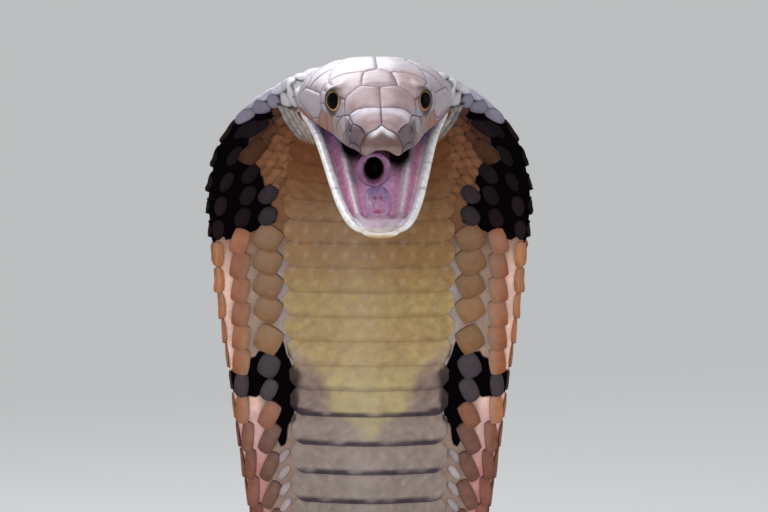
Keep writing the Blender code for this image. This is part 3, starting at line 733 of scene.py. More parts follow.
def close_skin(mesh, name):
    """Welds the seams, fills what is open, turns the faces outwards, and gives the mesh data."""
    bmesh.ops.remove_doubles(mesh, verts=mesh.verts, dist=1e-6)
    bmesh.ops.dissolve_degenerate(mesh, dist=1e-7, edges=mesh.edges)
    bmesh.ops.holes_fill(mesh, edges=[edge for edge in mesh.edges if edge.is_boundary])
    bmesh.ops.recalc_face_normals(mesh, faces=mesh.faces)
    if mesh.calc_volume(signed=True) < 0:
        bmesh.ops.reverse_faces(mesh, faces=mesh.faces)
    data = bpy.data.meshes.new(name)
    mesh.to_mesh(data)
    mesh.free()
    return data


def build_body_skin(material):
    ends, counts = zip(*SKIN_ROWS)
    station = np.interp(np.arange(counts[-1] + 1), counts, ends)[:, None]
    station[0] = SKIN_START
    share = np.linspace(-1.0, 1.0, SKIN_COLUMNS + 1)[None, :]
    station, share = np.broadcast_arrays(station, share)
    angle = angle_at(station, share)
    angle[:, 0] = -angle[:, -1]
    thin = np.minimum(curve(HALF_WIDTH, station) / 0.005, 1.0)
    depth = COAT_DEPTH * np.where(station < 0, 2.4, 1.0) * thin
    places = on_coat(station, angle, -depth)
    places[-1] = places[-1].mean(axis=0)
    places[:, -1] = places[:, 0]
    reach = np.abs(share) * half_girth(station)
    mesh = painted_mesh()
    band_layer = mesh.verts.layers.float.new("band")
    points = add_sheet(mesh, places, skin_colour(station, reach))
    for vert, band in zip(points, band_share(station, reach, 0.006).reshape(-1)):
        vert[band_layer] = band
    piece = add_piece("body_skin", close_skin(mesh, "body_skin"), material)
    trunk_nodes = ("hood", "neck", "forebody", "body", "tail")
    covered = [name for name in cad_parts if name.startswith(trunk_nodes)]
    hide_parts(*covered)


build_body_skin(skin_finish())


# Belly scutes
# Wide horny plates across the belly, each with a free rear edge that lies over the next, down to the tail's
# tip. They are one plate of a few faces, repeated, and bent over the belly's own shape.

PLATE_ROOT = -0.0008  # a plate's foot is sunk this far into the skin
SCUTE_LIFT, SCUTE_BASE = 0.0008, 0.00022  # how far a scute's free edge and its middle stand off the skin
# How far round from the belly a scute reaches in the hood, by station
HOOD_SCUTE_END = (
    (0.0, 0.0270), (0.05, 0.0285), (0.078, 0.0292), (0.105, 0.0290), (0.118, 0.0276), (0.15, 0.0272),
)
BROWN_EDGE_TINT, PURPLE_EDGE = (0.30, 0.16, 0.12), (0.022, 0.013, 0.034)
# painted shadow on a scute's root, under the free edge of the one before it
PAINTED_ROOT_SHADOW = (0.62, 0.52, 0.50)
SCUTE_LAP = 0.10  # of its length that lies over the next one
SLIM_HALF_WIDTH = 0.012  # of the tail, from where its scutes and scales get thinner with it
SCUTE_ROUND = 0.19  # of its half width over which its corners are rounded
BAKE_SPOT = 0.0015  # half of a scale's own square in the bake's image
FIRST_SCUTE = -0.0161
SCUTE_LENGTHS_BY_STATION = ((0.0, 0.0083), (0.120, 0.0083), (0.134, 0.0098), (0.17, 0.0098), (0.25, 0.0093))


def scute_starts():
    """Where each scute begins, with shorter ones in the hood and under the slimmer tail."""
    starts = [FIRST_SCUTE]
    while starts[-1] < BODY_LENGTH - 0.004:
        slim = float(curve(HALF_WIDTH, starts[-1]) / curve(HALF_WIDTH, VENT))
        shorter = min(1.0, max(0.36, slim**0.8)) if starts[-1] > VENT else 1.0
        starts.append(starts[-1] + float(curve(SCUTE_LENGTHS_BY_STATION, starts[-1])) * shorter)
    return np.array(starts)


SCUTE_STARTS = scute_starts()


def plate(columns, rows):
    """A flat plate from -1 to 1 each way, with its top at height 0 and an edge turned down to -1."""
    mesh = bmesh.new()
    bmesh.ops.create_grid(mesh, x_segments=columns, y_segments=rows, size=1.0)
    rim = [edge for edge in mesh.edges if edge.is_boundary]
    made = bmesh.ops.extrude_edge_only(mesh, edges=rim)["geom"]
    foot = [item for item in made if isinstance(item, bmesh.types.BMVert)]
    bmesh.ops.translate(mesh, verts=foot, vec=(0.0, 0.0, -1.0))
    bmesh.ops.holes_fill(mesh, edges=[edge for edge in mesh.edges if edge.is_boundary])
    bmesh.ops.recalc_face_normals(mesh, faces=mesh.faces)
    data = bpy.data.meshes.new("plate")
    mesh.to_mesh(data)
    mesh.free()
    data.shade_smooth()
    data.set_sharp_from_angle(angle=math.radians(60))
    return data


def plate_points(data):
    """The plate's points, as across, along and height."""
    points = np.zeros(len(data.vertices) * 3)
    data.vertices.foreach_get("co", points)
    return points.reshape(-1, 3).T


def lay_plates(name, template, places, colours, bake_places, material):
    """One mesh of as many plates as there are rows of places, each point set where it belongs."""
    copies = bpy.data.objects.new(name, template)
    bpy.context.scene.collection.objects.link(copies)
    array = copies.modifiers.new("copies", "ARRAY")
    array.count = len(places)
    array.use_relative_offset = False
    data = bpy.data.meshes.new_from_object(copies.evaluated_get(bpy.context.evaluated_depsgraph_get()))
    bpy.data.objects.remove(copies)
    data.name = name
    data.vertices.foreach_set("co", places.reshape(-1))
    painted = data.attributes.new("colour", "FLOAT_COLOR", "POINT")
    colours = np.concatenate([colours, np.ones((*colours.shape[:2], 1))], axis=2)
    painted.data.foreach_set("color", colours.reshape(-1))
    corner_points = np.zeros(len(data.loops), int)
    data.loops.foreach_get("vertex_index", corner_points)
    bake = data.uv_layers.new(name="OFBake")
    bake.data.foreach_set("uv", bake_places.reshape(-1, 2)[corner_points].reshape(-1))
    data.update()
    piece = add_piece(name, data, material)
    return piece


def trunk_share(station):
    """0 on the spread hood and 1 on the round trunk."""
    return smooth((station - 0.15) / 0.09)


def fullness(station):
    """1 on the trunk, and less along the slim end of the tail, where scutes and scales are thinner."""
    return np.minimum(curve(HALF_WIDTH, station) / SLIM_HALF_WIDTH, 1.0)


def build_scutes(name, columns, rows, starts, lengths, material):
    template = plate(columns, rows)
    across, along, height = plate_points(template)
    rounded = np.sqrt(1 - np.clip((np.abs(across) - 1 + SCUTE_ROUND) / SCUTE_ROUND, 0.0, 0.94) ** 2)
    starts, lengths = starts[:, None], lengths[:, None]
    in_hood = smooth((0.20 - starts) / 0.03)
    run = 0.5 + 0.5 * along * np.where(along > 0, rounded, 1 - in_hood * (1 - rounded))
    station = starts + lengths * (run * (1 + 2 * SCUTE_LAP) - SCUTE_LAP)
    station = np.clip(station, -NAPE_LENGTH, BODY_LENGTH - 0.0005)
    hood_end = curve(HOOD_SCUTE_END, station) / half_girth(station)
    share = across * (hood_end + (lookup(SCUTE_ENDS, station) - hood_end) * trunk_share(station))
    angle = angle_at(station, share)
    ends = 1 - 0.8 * np.clip((np.abs(across) - 0.8) / 0.2, 0.0, 1.0) ** 2
    top = SCUTE_LIFT * (0.15 + 0.85 * run * ends - 0.6 * np.maximum(0.12 - run, 0.0) / 0.12)
    level = np.where(height < -0.5, PLATE_ROOT, top + SCUTE_BASE) * fullness(station)
    places = on_coat(station, angle, level)
    places[..., 2] = np.maximum(places[..., 2], 0.0)
    reach = np.abs(share) * half_girth(station)
    colours = scute_colour(station, reach)
    wave = 0.020 * np.sin(share * 31 + starts * 900) + 0.014 * np.sin(share * 74 + starts * 400)
    low = smooth((station - 0.120) / 0.012) * smooth((0.40 - station) / 0.2)
    to_side = smooth((reach - 0.013) / 0.012) * low * smooth((0.150 - station) / 0.02)
    free_edge = smooth((run - 0.86 + wave + 0.03 * low + 0.14 * to_side) / 0.09)
    free_edge = free_edge * (0.34 + 0.52 * low)
    colours = mix(colours, colours * BROWN_EDGE_TINT, np.clip(free_edge * (1 - low), 0.0, 1.0))
    colours = mix(colours, PURPLE_EDGE, np.clip(free_edge * low, 0.0, 0.94))
    # painted shadow across each scute's root, where the one before lies over it
    colours = mix(colours, colours * PAINTED_ROOT_SHADOW, 0.6 * smooth((0.14 - run + wave) / 0.12))
    bake_u = 0.5 + 0.5 * share
    bake_v = np.clip(station / BODY_LENGTH, 0.0, 1.0)
    lay_plates(name, template, places, colours, np.stack([bake_u, bake_v], axis=-1), material)


SCUTE_LENGTHS = np.diff(SCUTE_STARTS)
HOOD_SCUTES = 26
SCUTE_HORN = scale_finish("scute_horn", 0.42, 0.40, 0.00004)
build_scutes("hood_scutes", 72, 10, SCUTE_STARTS[:HOOD_SCUTES], SCUTE_LENGTHS[:HOOD_SCUTES], SCUTE_HORN)
build_scutes("belly_scutes", 26, 5, SCUTE_STARTS[HOOD_SCUTES:-1], SCUTE_LENGTHS[HOOD_SCUTES:], SCUTE_HORN)


# Scales of the hood, the back and the flanks
# Smooth horny scales in oblique rows, one to each scute: 19 rows round the hood, 15 round the trunk, fewer on
# the tail. On the spread hood they stand apart on bare skin, and further back each lies over the next.

SCALE_ROWS = 10  # on each side, from the scutes to the middle of the back, which has the last row alone
# How far each of these rows is set back from the scutes, as a share of a scute, by station
ROW_PHASE = {
    1: (
        (0.060, 0.43), (0.096, 0.31), (0.104, 0.57), (0.113, 0.66), (0.129, 0.64), (0.139, 0.44), (0.24, 0.5),
    ),
    2: ((0.050, 0.50), (0.075, 0.53), (0.14, 0.40), (0.24, 0.0)),
    3: ((0.038, -0.39), (0.046, -0.23), (0.0545, -0.09), (0.063, -0.01), (0.14, 0.3), (0.24, 0.5)),
}
# The stations between which a row ends
ROW_FADES = {
    5: (0.100, 0.190), 4: (0.165, 0.270), 7: (2.110, 2.230), 8: (2.130, 2.250), 3: (2.260, 2.380),
    2: (2.280, 2.400),
}
# Middle and half width of the rows that show on the front of the hood, round from the belly by station
HOOD_ROWS = (
    (
        ((0.0, 0.0345), (0.118, 0.0347), (0.160, 0.0351), (0.24, 0.0310)),
        ((0.0, 0.0044), (0.118, 0.0044), (0.127, 0.0034), (0.160, 0.0022)),
    ),
    (
        (
            (0.040, 0.0405), (0.058, 0.0414), (0.067, 0.0431), (0.076, 0.0440), (0.118, 0.0440),
            (0.130, 0.0442), (0.143, 0.0424), (0.158, 0.0414), (0.24, 0.0370),
        ),
        ((0.0, 0.0029), (0.112, 0.0029), (0.130, 0.0024), (0.160, 0.0019)),
    ),
    (
        (
            (0.030, 0.0430), (0.043, 0.0464), (0.0525, 0.0485), (0.062, 0.0505), (0.071, 0.0513),
            (0.118, 0.0505), (0.130, 0.0490), (0.158, 0.0455), (0.24, 0.0415),
        ),
        ((0.0, 0.0021), (0.118, 0.0020), (0.132, 0.0022)),
    ),
)
HOOD_TILT, TRUNK_TILT = math.radians(21), math.radians(7)
# Where the rows begin behind the head, by their share round from the belly
NAPE_START = ((0.0, -0.0245), (0.55, -0.0225), (0.75, -0.0190), (1.0, -0.0150))
PALE_BROWN = (0.36, 0.215, 0.130)  # what the inner rows fade into, beside the scutes
PIECE_ENDS = (0.205, 0.70, 1.25, 1.80, BODY_LENGTH + 0.01)
SIZE_SPREAD, TONE_SPREAD = 0.035, 0.085  # between scales
LAPPED_LONG, LAPPED_WIDE = 0.66, 1.10  # of its cell that a scale fills where each lies over the next
# Heights where the scales stand apart: a scale's edge, its dome and how much of that goes on the throat,
# the rise to its free end, and the rise of the rows along the rim
APART_BASE, APART_DOME, THROAT_DOME, APART_RISE, RIM_RISE = 0.00018, 0.00034, 0.00018, 0.00016, 0.00090
# Heights where each lies over the next: a scale's root, the rise to its free end and how much of that goes
# on the nape, and its dome
TILE_BASE, TILE_RISE, NAPE_RISE, TILE_DOME = 0.00016, 0.00050, 0.00020, 0.00030
# Where the shoulders' and the throat's own scales take the place of the rows, as stations and reaches
SHOULDER_START, SHOULDER_TURN, SHOULDER_INNER, SHOULDER_OUTER = 0.003, 0.016, 0.024, (0.0452, 0.0475)
THROAT_END, THROAT_OUTER = 0.056, 0.0385


def row_weights(station):
    """How wide each row is beside the others, which falls to nothing where a row ends."""
    weights = np.ones((SCALE_ROWS, len(station)))
    for row, (start, end) in ROW_FADES.items():
        weights[row - 1] = 1 - smooth((station - start) / (end - start))
    return weights


def row_shares(station):
    """The middle and the half width of each row, as shares of the half girth."""
    weights = row_weights(station)
    middles = np.cumsum(weights, axis=0) - 0.5 * weights
    end = lookup(SCUTE_ENDS, station)
    unit = (1 - end) / middles[-1]
    trunk = np.array([end + middles * unit, weights * unit / 2])
    girth = half_girth(station)
    front = np.array([[curve(table, station) / girth for table in tables] for tables in zip(*HOOD_ROWS)])
    rim = lookup(RIMS, station) - 0.0014 * smooth((0.085 - station) / 0.01) / girth
    rim = np.maximum(rim, front[:, 2].sum(axis=0))
    beyond = weights[len(HOOD_ROWS) :]
    centres = np.cumsum(beyond, axis=0) - 0.5 * beyond
    unit = (1 - rim) / centres[-1]
    hood = np.concatenate([front, np.array([rim + centres * unit, beyond * unit / 2])], axis=1)
    on_trunk = trunk_share(station)
    return hood * (1 - on_trunk) + trunk * on_trunk


def own_neck_scales(station, reach):
    """Where the neck's and the throat's own scales take the place of the rows."""
    shoulder = (station > SHOULDER_START) & (station < curve(NECK_EDGE, reach) + 0.002)
    shoulder &= (reach > SHOULDER_INNER) & (reach < np.where(station < SHOULDER_TURN, *SHOULDER_OUTER))
    throat = (station < THROAT_END) & (reach < THROAT_OUTER) & (band_share(station, reach) < 0.5)
    return shoulder | throat


def list_scales():
    """Row, side, station, middle, half width and length of every scale."""
    found = []
    mids = 0.5 * (SCUTE_STARTS[:-1] + SCUTE_STARTS[1:])
    lengths = np.diff(SCUTE_STARTS)
    for row in range(1, SCALE_ROWS + 1):
        stations = mids + lengths * (curve(ROW_PHASE[row], mids) if row in ROW_PHASE else 0.5 * (row % 2))
        middles, halves = row_shares(stations)
        first = curve(NAPE_START, middles[row - 1])
        keep = (stations > first) & (stations < BODY_LENGTH - 0.006)
        keep &= row_weights(stations)[row - 1] > 0.35
        reach = middles[row - 1] * half_girth(stations)
        keep &= ~own_neck_scales(stations, reach)
        for side in (-1, 1) if row < SCALE_ROWS else (1,):
            count = keep.sum()
            found.append(np.stack([
                np.full(count, row), np.full(count, side), stations[keep], middles[row - 1][keep],
                halves[row - 1][keep], lengths[keep],
            ]))
    found = np.concatenate(found, axis=1)
    return found[:, np.argsort(found[2], kind="stable")]


def hood_shape(row, band, throat):
    """Shares of a hood scale's cell that it fills across and along, and how square its outline is."""
    wide = np.where(row <= 3, 1.0, 0.74) + 0.12 * throat
    band_wide = np.where(row == 1, 0.66, np.where(row == 2, 0.86, 1.02))
    wide = wide + (band_wide - wide) * band * (row <= 3)
    wide = np.where(row == 4, 1.0, wide)
    long = np.where(row == 1, 0.56, np.where(row == 2, 0.555, 0.52)) - 0.09 * band
    square = np.where(row == 1, 0.48, np.where(row == 2, 0.50, 0.26)) * (1 - 0.8 * band)
    return wide, long, np.maximum(square, 0.45 * throat)


def bake_spots(station, share, across, along):
    """A small square of the bake's image for each scale, placed as the scale is on the body."""
    spot_u = 0.5 + 0.5 * share + BAKE_SPOT * across
    spot_v = (station + NAPE_LENGTH) / (BODY_LENGTH + NAPE_LENGTH) + BAKE_SPOT * along
    return np.stack([spot_u, spot_v], axis=-1)


def build_scales(name, scales, template, material):
    across, along, height = plate_points(template)
    row, side, station, middle, half, length = (value[:, None] for value in scales)
    girth = half_girth(station)
    reach = middle * girth
    band = band_share(station, reach)
    along_flank = flank_share(station, reach)
    front = smooth((1.12 - along_flank) / 0.1)
    throat = smooth((0.068 - station) / 0.012) * front * (1 - band)
    trunk = smooth((station - 0.15) / 0.14)
    nape = smooth((0.024 - station) / 0.02)
    lapped = np.maximum(trunk, nape)
    second_band = smooth((station - 0.09) / 0.01)
    hood_wide, hood_long, square = hood_shape(row, band * (1 - 0.45 * second_band), throat)
    round_off = 1 - square * (1 - lapped)
    disc_across = across * np.sqrt(1 - round_off * along**2 / 2)
    disc_along = along * np.sqrt(1 - round_off * across**2 / 2)
    rng = np.random.default_rng(len(row))
    size = 1 + rng.normal(0.0, SIZE_SPREAD, station.shape)
    half_long = length * size * (hood_long * (1 - lapped) + LAPPED_LONG * lapped)
    half_wide = half * girth * (hood_wide * (1 - lapped) + LAPPED_WIDE * lapped) * size
    tilt = HOOD_TILT * (1 - trunk) * np.where(row == 1, 1.5, 1.0) + TRUNK_TILT * trunk
    tilt = tilt * np.clip((1.0 - along_flank) / 0.35, -1.0, 1.0) * (row < SCALE_ROWS)
    pointed = 1 - 0.16 * (disc_along + 0.25) * np.maximum(lapped, 0.8 * (row == 3) * front)
    long_run = disc_along * half_long * (1 - 0.08 * height)
    wide_run = disc_across * pointed * half_wide
    at = station + long_run * np.cos(tilt) - wide_run * np.sin(tilt)
    share = middle + (long_run * np.sin(tilt) + wide_run * np.cos(tilt)) / girth
    at = np.clip(at, 0.0002 - NAPE_LENGTH, BODY_LENGTH - 0.0003)
    angle = angle_at(at, share * side)
    slim = fullness(station)
    dome = 1 - 0.8 * (disc_across**2 + disc_along**2)
    apart = APART_BASE + (APART_DOME - THROAT_DOME * throat) * dome + APART_RISE * (disc_along + 1) * front
    above_band = smooth((0.082 - station) / 0.006)
    rim_row = np.where(row == 4, above_band * smooth((station - 0.036) / 0.008), 0.0)
    rim_row = np.where(row == 3, front * (1 - above_band), rim_row)
    outer = np.where(row == 4, -disc_across, disc_across)
    apart = apart + RIM_RISE * rim_row * smooth(disc_along + 0.1) * smooth((outer + 0.9) / 1.4)
    tile = TILE_BASE + (TILE_RISE - NAPE_RISE * nape) * (disc_along + 1) / 2
    tile = tile + TILE_DOME * (1 - disc_across**2) * (1 - 0.5 * nape)
    top = (apart * (1 - lapped) + tile * lapped) * slim
    level = np.where(height < -0.5, PLATE_ROOT * slim, top)
    places = on_coat(at, angle, level)
    colour = scale_colour(station, reach)[:, 0][:, None] * np.ones((1, across.size, 1))
    fade = (row == 2) * front * (1 - band)
    fade = fade * smooth((station - 0.070) / 0.01) * smooth((0.15 - station) / 0.02)
    colour = mix(colour, PALE_BROWN, 0.6 * fade * smooth((0.25 - disc_across) / 0.9))
    edge = np.clip(disc_across**2 + disc_along**2, 0.0, 1.0)
    tone = 1 + rng.normal(0.0, TONE_SPREAD, station.shape)
    shade = (1.06 - 0.24 * edge**2) * tone * np.where(height < -0.5, 0.6, 1.0)
    colours = colour * shade[..., None]
    lay_plates(name, template, places, colours, bake_spots(station, middle * side, across, along), material)


def build_coat(material):
    scales = list_scales()
    start = -1.0
    for number, end in enumerate(PIECE_ENDS):
        template = plate(6, 8) if number == 0 else plate(4, 6)
        chosen = (scales[2] >= start) & (scales[2] < end)
        name = "hood_scales" if number == 0 else f"back_scales_{number}"
        build_scales(name, scales[:, chosen], template, material)
        start = end


SCALE_HORN = scale_finish("scale_horn", 0.36, 0.32, 0.00003)
build_coat(SCALE_HORN)


# The neck's own scales
# Large smooth scales behind the head and on the shoulders of the hood, folds of small scales beside the jaw,
# and soft small scales on the throat and beside the scutes. Each is the same horn as the rows of scales.

# Station and reach round from the belly of each large scale, in millimetres, the way it points in the same
# measure, its half length, half width and rise, and its colour
SHOULDER_SCALES = (
    (9.5, 42.0, (7.0, 0.0), 6.0, 3.7, 2.4, (0.60, 0.58, 0.63)),
    (8.6, 37.4, (7.0, 0.6), 4.8, 2.3, 1.1, (0.60, 0.57, 0.62)),
    (10.4, 31.9, (9.0, -3.6), 5.0, 1.5, 0.4, (0.84, 0.82, 0.84)),
    (16.4, 29.9, (5.2, -3.4), 3.7, 1.3, 0.4, (0.58, 0.54, 0.56)),
    (12.6, 34.9, (7.0, -1.6), 3.7, 1.8, 0.2, (0.56, 0.54, 0.59)),
    (19.5, 31.8, (6.5, -2.7), 3.5, 2.0, 0.5, (0.58, 0.52, 0.56)),
    (18.0, 36.2, (6.5, 4.6), 3.9, 1.5, 0.3, (0.62, 0.60, 0.68)),
    (22.4, 35.9, (3.0, 3.0), 2.6, 2.2, 0.5, (0.24, 0.215, 0.28)),
    (23.0, 40.2, (5.2, 4.8), 3.6, 1.5, 0.4, (0.44, 0.42, 0.52)),
    (26.5, 39.8, (3.5, 6.6), 3.7, 1.9, 0.5, (0.20, 0.175, 0.235)),
    (27.4, 44.2, (5.0, 5.0), 3.4, 1.4, 0.4, (0.40, 0.38, 0.46)),
    (31.2, 44.9, (5.0, 6.4), 3.9, 1.5, 0.4, (0.23, 0.205, 0.270)),
)
FREE_ROOT = -0.0006  # how far the foot of a free scale is sunk into the skin
FOLD_LINES, FOLD_PLACES = 4, 5
FOLD_INNER_COLOUR, FOLD_OUTER_COLOUR = (0.44, 0.385, 0.330), (0.25, 0.215, 0.215)
# brown of the folds' lower ends in the throat, partly painted shade
SHADED_FOLD_END = (0.20, 0.085, 0.034)
THROAT_LENGTH, THROAT_REACH = (0.0215, 0.062), (0.0262, 0.0395)  # where the throat's small scales are
THROAT_STEP = (0.0034, 0.0031)  # between them, along the body and round it
THROAT_TILT = math.radians(38)
SIDE_LENGTH, SIDE_STEP = (0.1490, 0.200), 0.0056  # where the small pale scales beside the scutes are
SIDE_REACH, SIDE_DRAW = 0.0302, 0.020  # round from the belly, and how fast they draw in
SIDE_COLOUR = (0.39, 0.32, 0.33)
THROAT_SIZE, SIDE_SIZE = (0.0026, 0.0015), (0.0029, 0.0012)  # half length and half width
LAST_REACH = 0.0305  # of the throat's scales past its end, which stay close to the scutes


def free_plate():
    """A plate, its points drawn into a round outline, how near its edge they are, and their height."""
    template = plate(6, 8)
    across, along, height = plate_points(template)
    disc_across = across * np.sqrt(1 - 0.8 * along**2 / 2)
    disc_along = along * np.sqrt(1 - 0.8 * across**2 / 2)
    edge = np.clip(disc_across**2 + disc_along**2, 0.0, 1.0)
    return template, disc_across, disc_along, edge, height


def lay_free_scales(name, template, station, reach, side, colours, top, root, material):
    """Scales at their own places on the neck. station, reach and colours have a row for each scale."""
    across, along, height = plate_points(template)
    angle = angle_at(station, side * reach / half_girth(station))
    places = on_coat(station, angle, np.where(height < -0.5, FREE_ROOT, top))
    bake_places = bake_spots(root[0], side * root[1] / half_girth(root[0]), across, along)
    lay_plates(name, template, places, colours, bake_places, material)


def build_shoulder_scales(material):
    template, across, along, edge, height = free_plate()
    rows = [(*spot, side) for spot in SHOULDER_SCALES for side in (-1, 1)]
    middle = np.array([row[:2] for row in rows]) / 1000
    way = np.array([row[2] for row in rows])
    way = way / np.linalg.norm(way, axis=1, keepdims=True)
    half_long, half_wide, rise = np.array([row[3:6] for row in rows]).T[..., None] / 1000
    side = np.array([row[7] for row in rows])[:, None]
    station = middle[:, :1] + way[:, :1] * along * half_long - way[:, 1:] * across * half_wide
    reach = middle[:, 1:] + way[:, 1:] * along * half_long + way[:, :1] * across * half_wide
    pale = np.array([row[6] for row in rows])[:, None, :]
    # painted shade: each scale darker towards its rim and much darker on its sunken sides
    colours = pale * ((1.10 - 0.42 * edge**3) * np.where(height < -0.5, 0.4, 1.0))[:, None]
    top = 0.00035 + rise * (1 - edge**1.5) + 0.0002 * across
    root = (middle[:, :1], middle[:, 1:])
    lay_free_scales("shoulder_scales", template, station, reach, side, colours, top, root, material)


def across_folds(run, share):
    """Station and reach at a run down the folds and a share of the way across them."""
    inner, outer = (
        [np.interp(run, np.linspace(0, 1, len(table)), column) for column in np.array(table).T]
        for table in (FOLD_INNER, FOLD_OUTER)
    )
    return tuple(first + (last - first) * share for first, last in zip(inner, outer))


def build_neck_folds(material):
    """Lines of small scales on the folds beside the jaw, which sink into the throat at their lower end."""
    template, across, along, edge, _ = free_plate()
    grid = np.meshgrid(np.arange(FOLD_LINES), np.arange(FOLD_PLACES + 1), (-1, 1), indexing="ij")
    line, place, side = (value.reshape(-1, 1) for value in grid)
    start = (place - 0.5 * (line % 2)) / FOLD_PLACES
    line, start, side = (value[start[:, 0] < 0.95] for value in (line, start, side))
    run = np.clip(start + 0.135 * along, -0.05, 1.0)
    station, reach = across_folds(run, (line + 0.5 + 0.54 * across) / FOLD_LINES)
    tone = 1 + np.random.default_rng(3).normal(0.0, 0.10, start.shape)
    pale = mix(FOLD_INNER_COLOUR, FOLD_OUTER_COLOUR, (line + 0.5) / FOLD_LINES)
    # painted shade: each scale darker towards its rim
    colours = pale * (tone * (1.12 - 0.50 * edge**2))[..., None]
    # the folds turn to the throat's brown at their lower ends, partly painted shade
    colours = mix(colours, SHADED_FOLD_END, 0.9 * smooth((run - 0.50) / 0.45))
    top = (0.0012 + 0.0005 * (1 - across**2)) * (1 - 0.75 * smooth((run - 0.6) / 0.4))
    root = across_folds(start, (line + 0.5) / FOLD_LINES)
    lay_free_scales("neck_folds", template, station, reach, side, colours, top, root, material)


def build_throat_scales(material):
    """Soft small scales on the throat, and pale ones beside the scutes below the second band."""
    template, across, along, edge, _ = free_plate()
    step, across_step = THROAT_STEP
    inner, outer = THROAT_REACH
    places = [
        (at, out, side)
        for number, at in enumerate(np.arange(*THROAT_LENGTH, step))
        for out in np.arange(inner + 0.5 * across_step * (number % 2), outer, across_step)
        for side in (-1, 1)
    ]
    at, out, side = (np.array(column)[:, None] for column in zip(*places))
    rng = np.random.default_rng(11)
    at, out = at + rng.normal(0.0, 0.0003, at.shape), out + rng.normal(0.0, 0.0003, out.shape)
    free = (band_share(at, out) < 0.5) & (on_neck(at, out) < 0.5)
    free &= ((at < THROAT_END) | (out < LAST_REACH)) & (out > inner)
    at, out, side = (value[free[:, 0]] for value in (at, out, side))

    low_at = np.repeat(np.arange(*SIDE_LENGTH, SIDE_STEP), 2)
    low_side = np.tile((-1, 1), len(low_at) // 2)
    at = np.append(at, low_at)[:, None]
    out = np.append(out, SIDE_REACH - SIDE_DRAW * (low_at - SIDE_LENGTH[0]))[:, None]
    side = np.append(side, low_side)[:, None]
    below = at > THROAT_LENGTH[1]
    half_long, half_wide = (np.where(below, *sizes) for sizes in zip(SIDE_SIZE, THROAT_SIZE))
    long_run, wide_run = half_long * along, half_wide * across
    station = at + long_run * math.cos(THROAT_TILT) - wide_run * math.sin(THROAT_TILT)
    reach = out + long_run * math.sin(THROAT_TILT) + wide_run * math.cos(THROAT_TILT)
    tone = 1 + rng.normal(0.0, 0.12, at.shape)
    colours = mix(scale_colour(at, out)[:, 0], SIDE_COLOUR, below[:, 0])
    # painted shade: each scale darker towards its rim
    colours = colours[:, None] * (tone * (1.06 - 0.30 * edge**2))[..., None]
    top = 0.00006 + 0.00018 * (1 - edge) + 0.0001 * along
    lay_free_scales("throat_scales", template, station, reach, side, colours, top, (at, out), material)


build_shoulder_scales(SCALE_HORN)
build_neck_folds(SCALE_HORN)
build_throat_scales(SCALE_HORN)


# The head and the lower jaw
# One skin runs over the crown, the cheeks and the throat, round the lips and through the open mouth.
# The large plates are drawn as thin seams between named corners, and each plate swells a little between them.

CAP_DEPTH, CAP_POWER, CAP_ROWS = 0.0012, 2.6, 40  # the rounded front of the snout
CROWN_COLUMNS, CROWN_ROW, NAPE_ROW = 200, 0.0003, 0.0010
PALATE_COLUMNS, UNDER_COLUMNS, FLOOR_COLUMNS = 52, 72, 104
SECTION_STEPS = 721  # of a section's outline before it is spaced out evenly
PALATE_RISE, PALATE_STARTS, PALATE_LENGTH, PALATE_LIP, PALATE_SLOPE = 0.0034, 0.002, 0.008, 0.22, 0.5

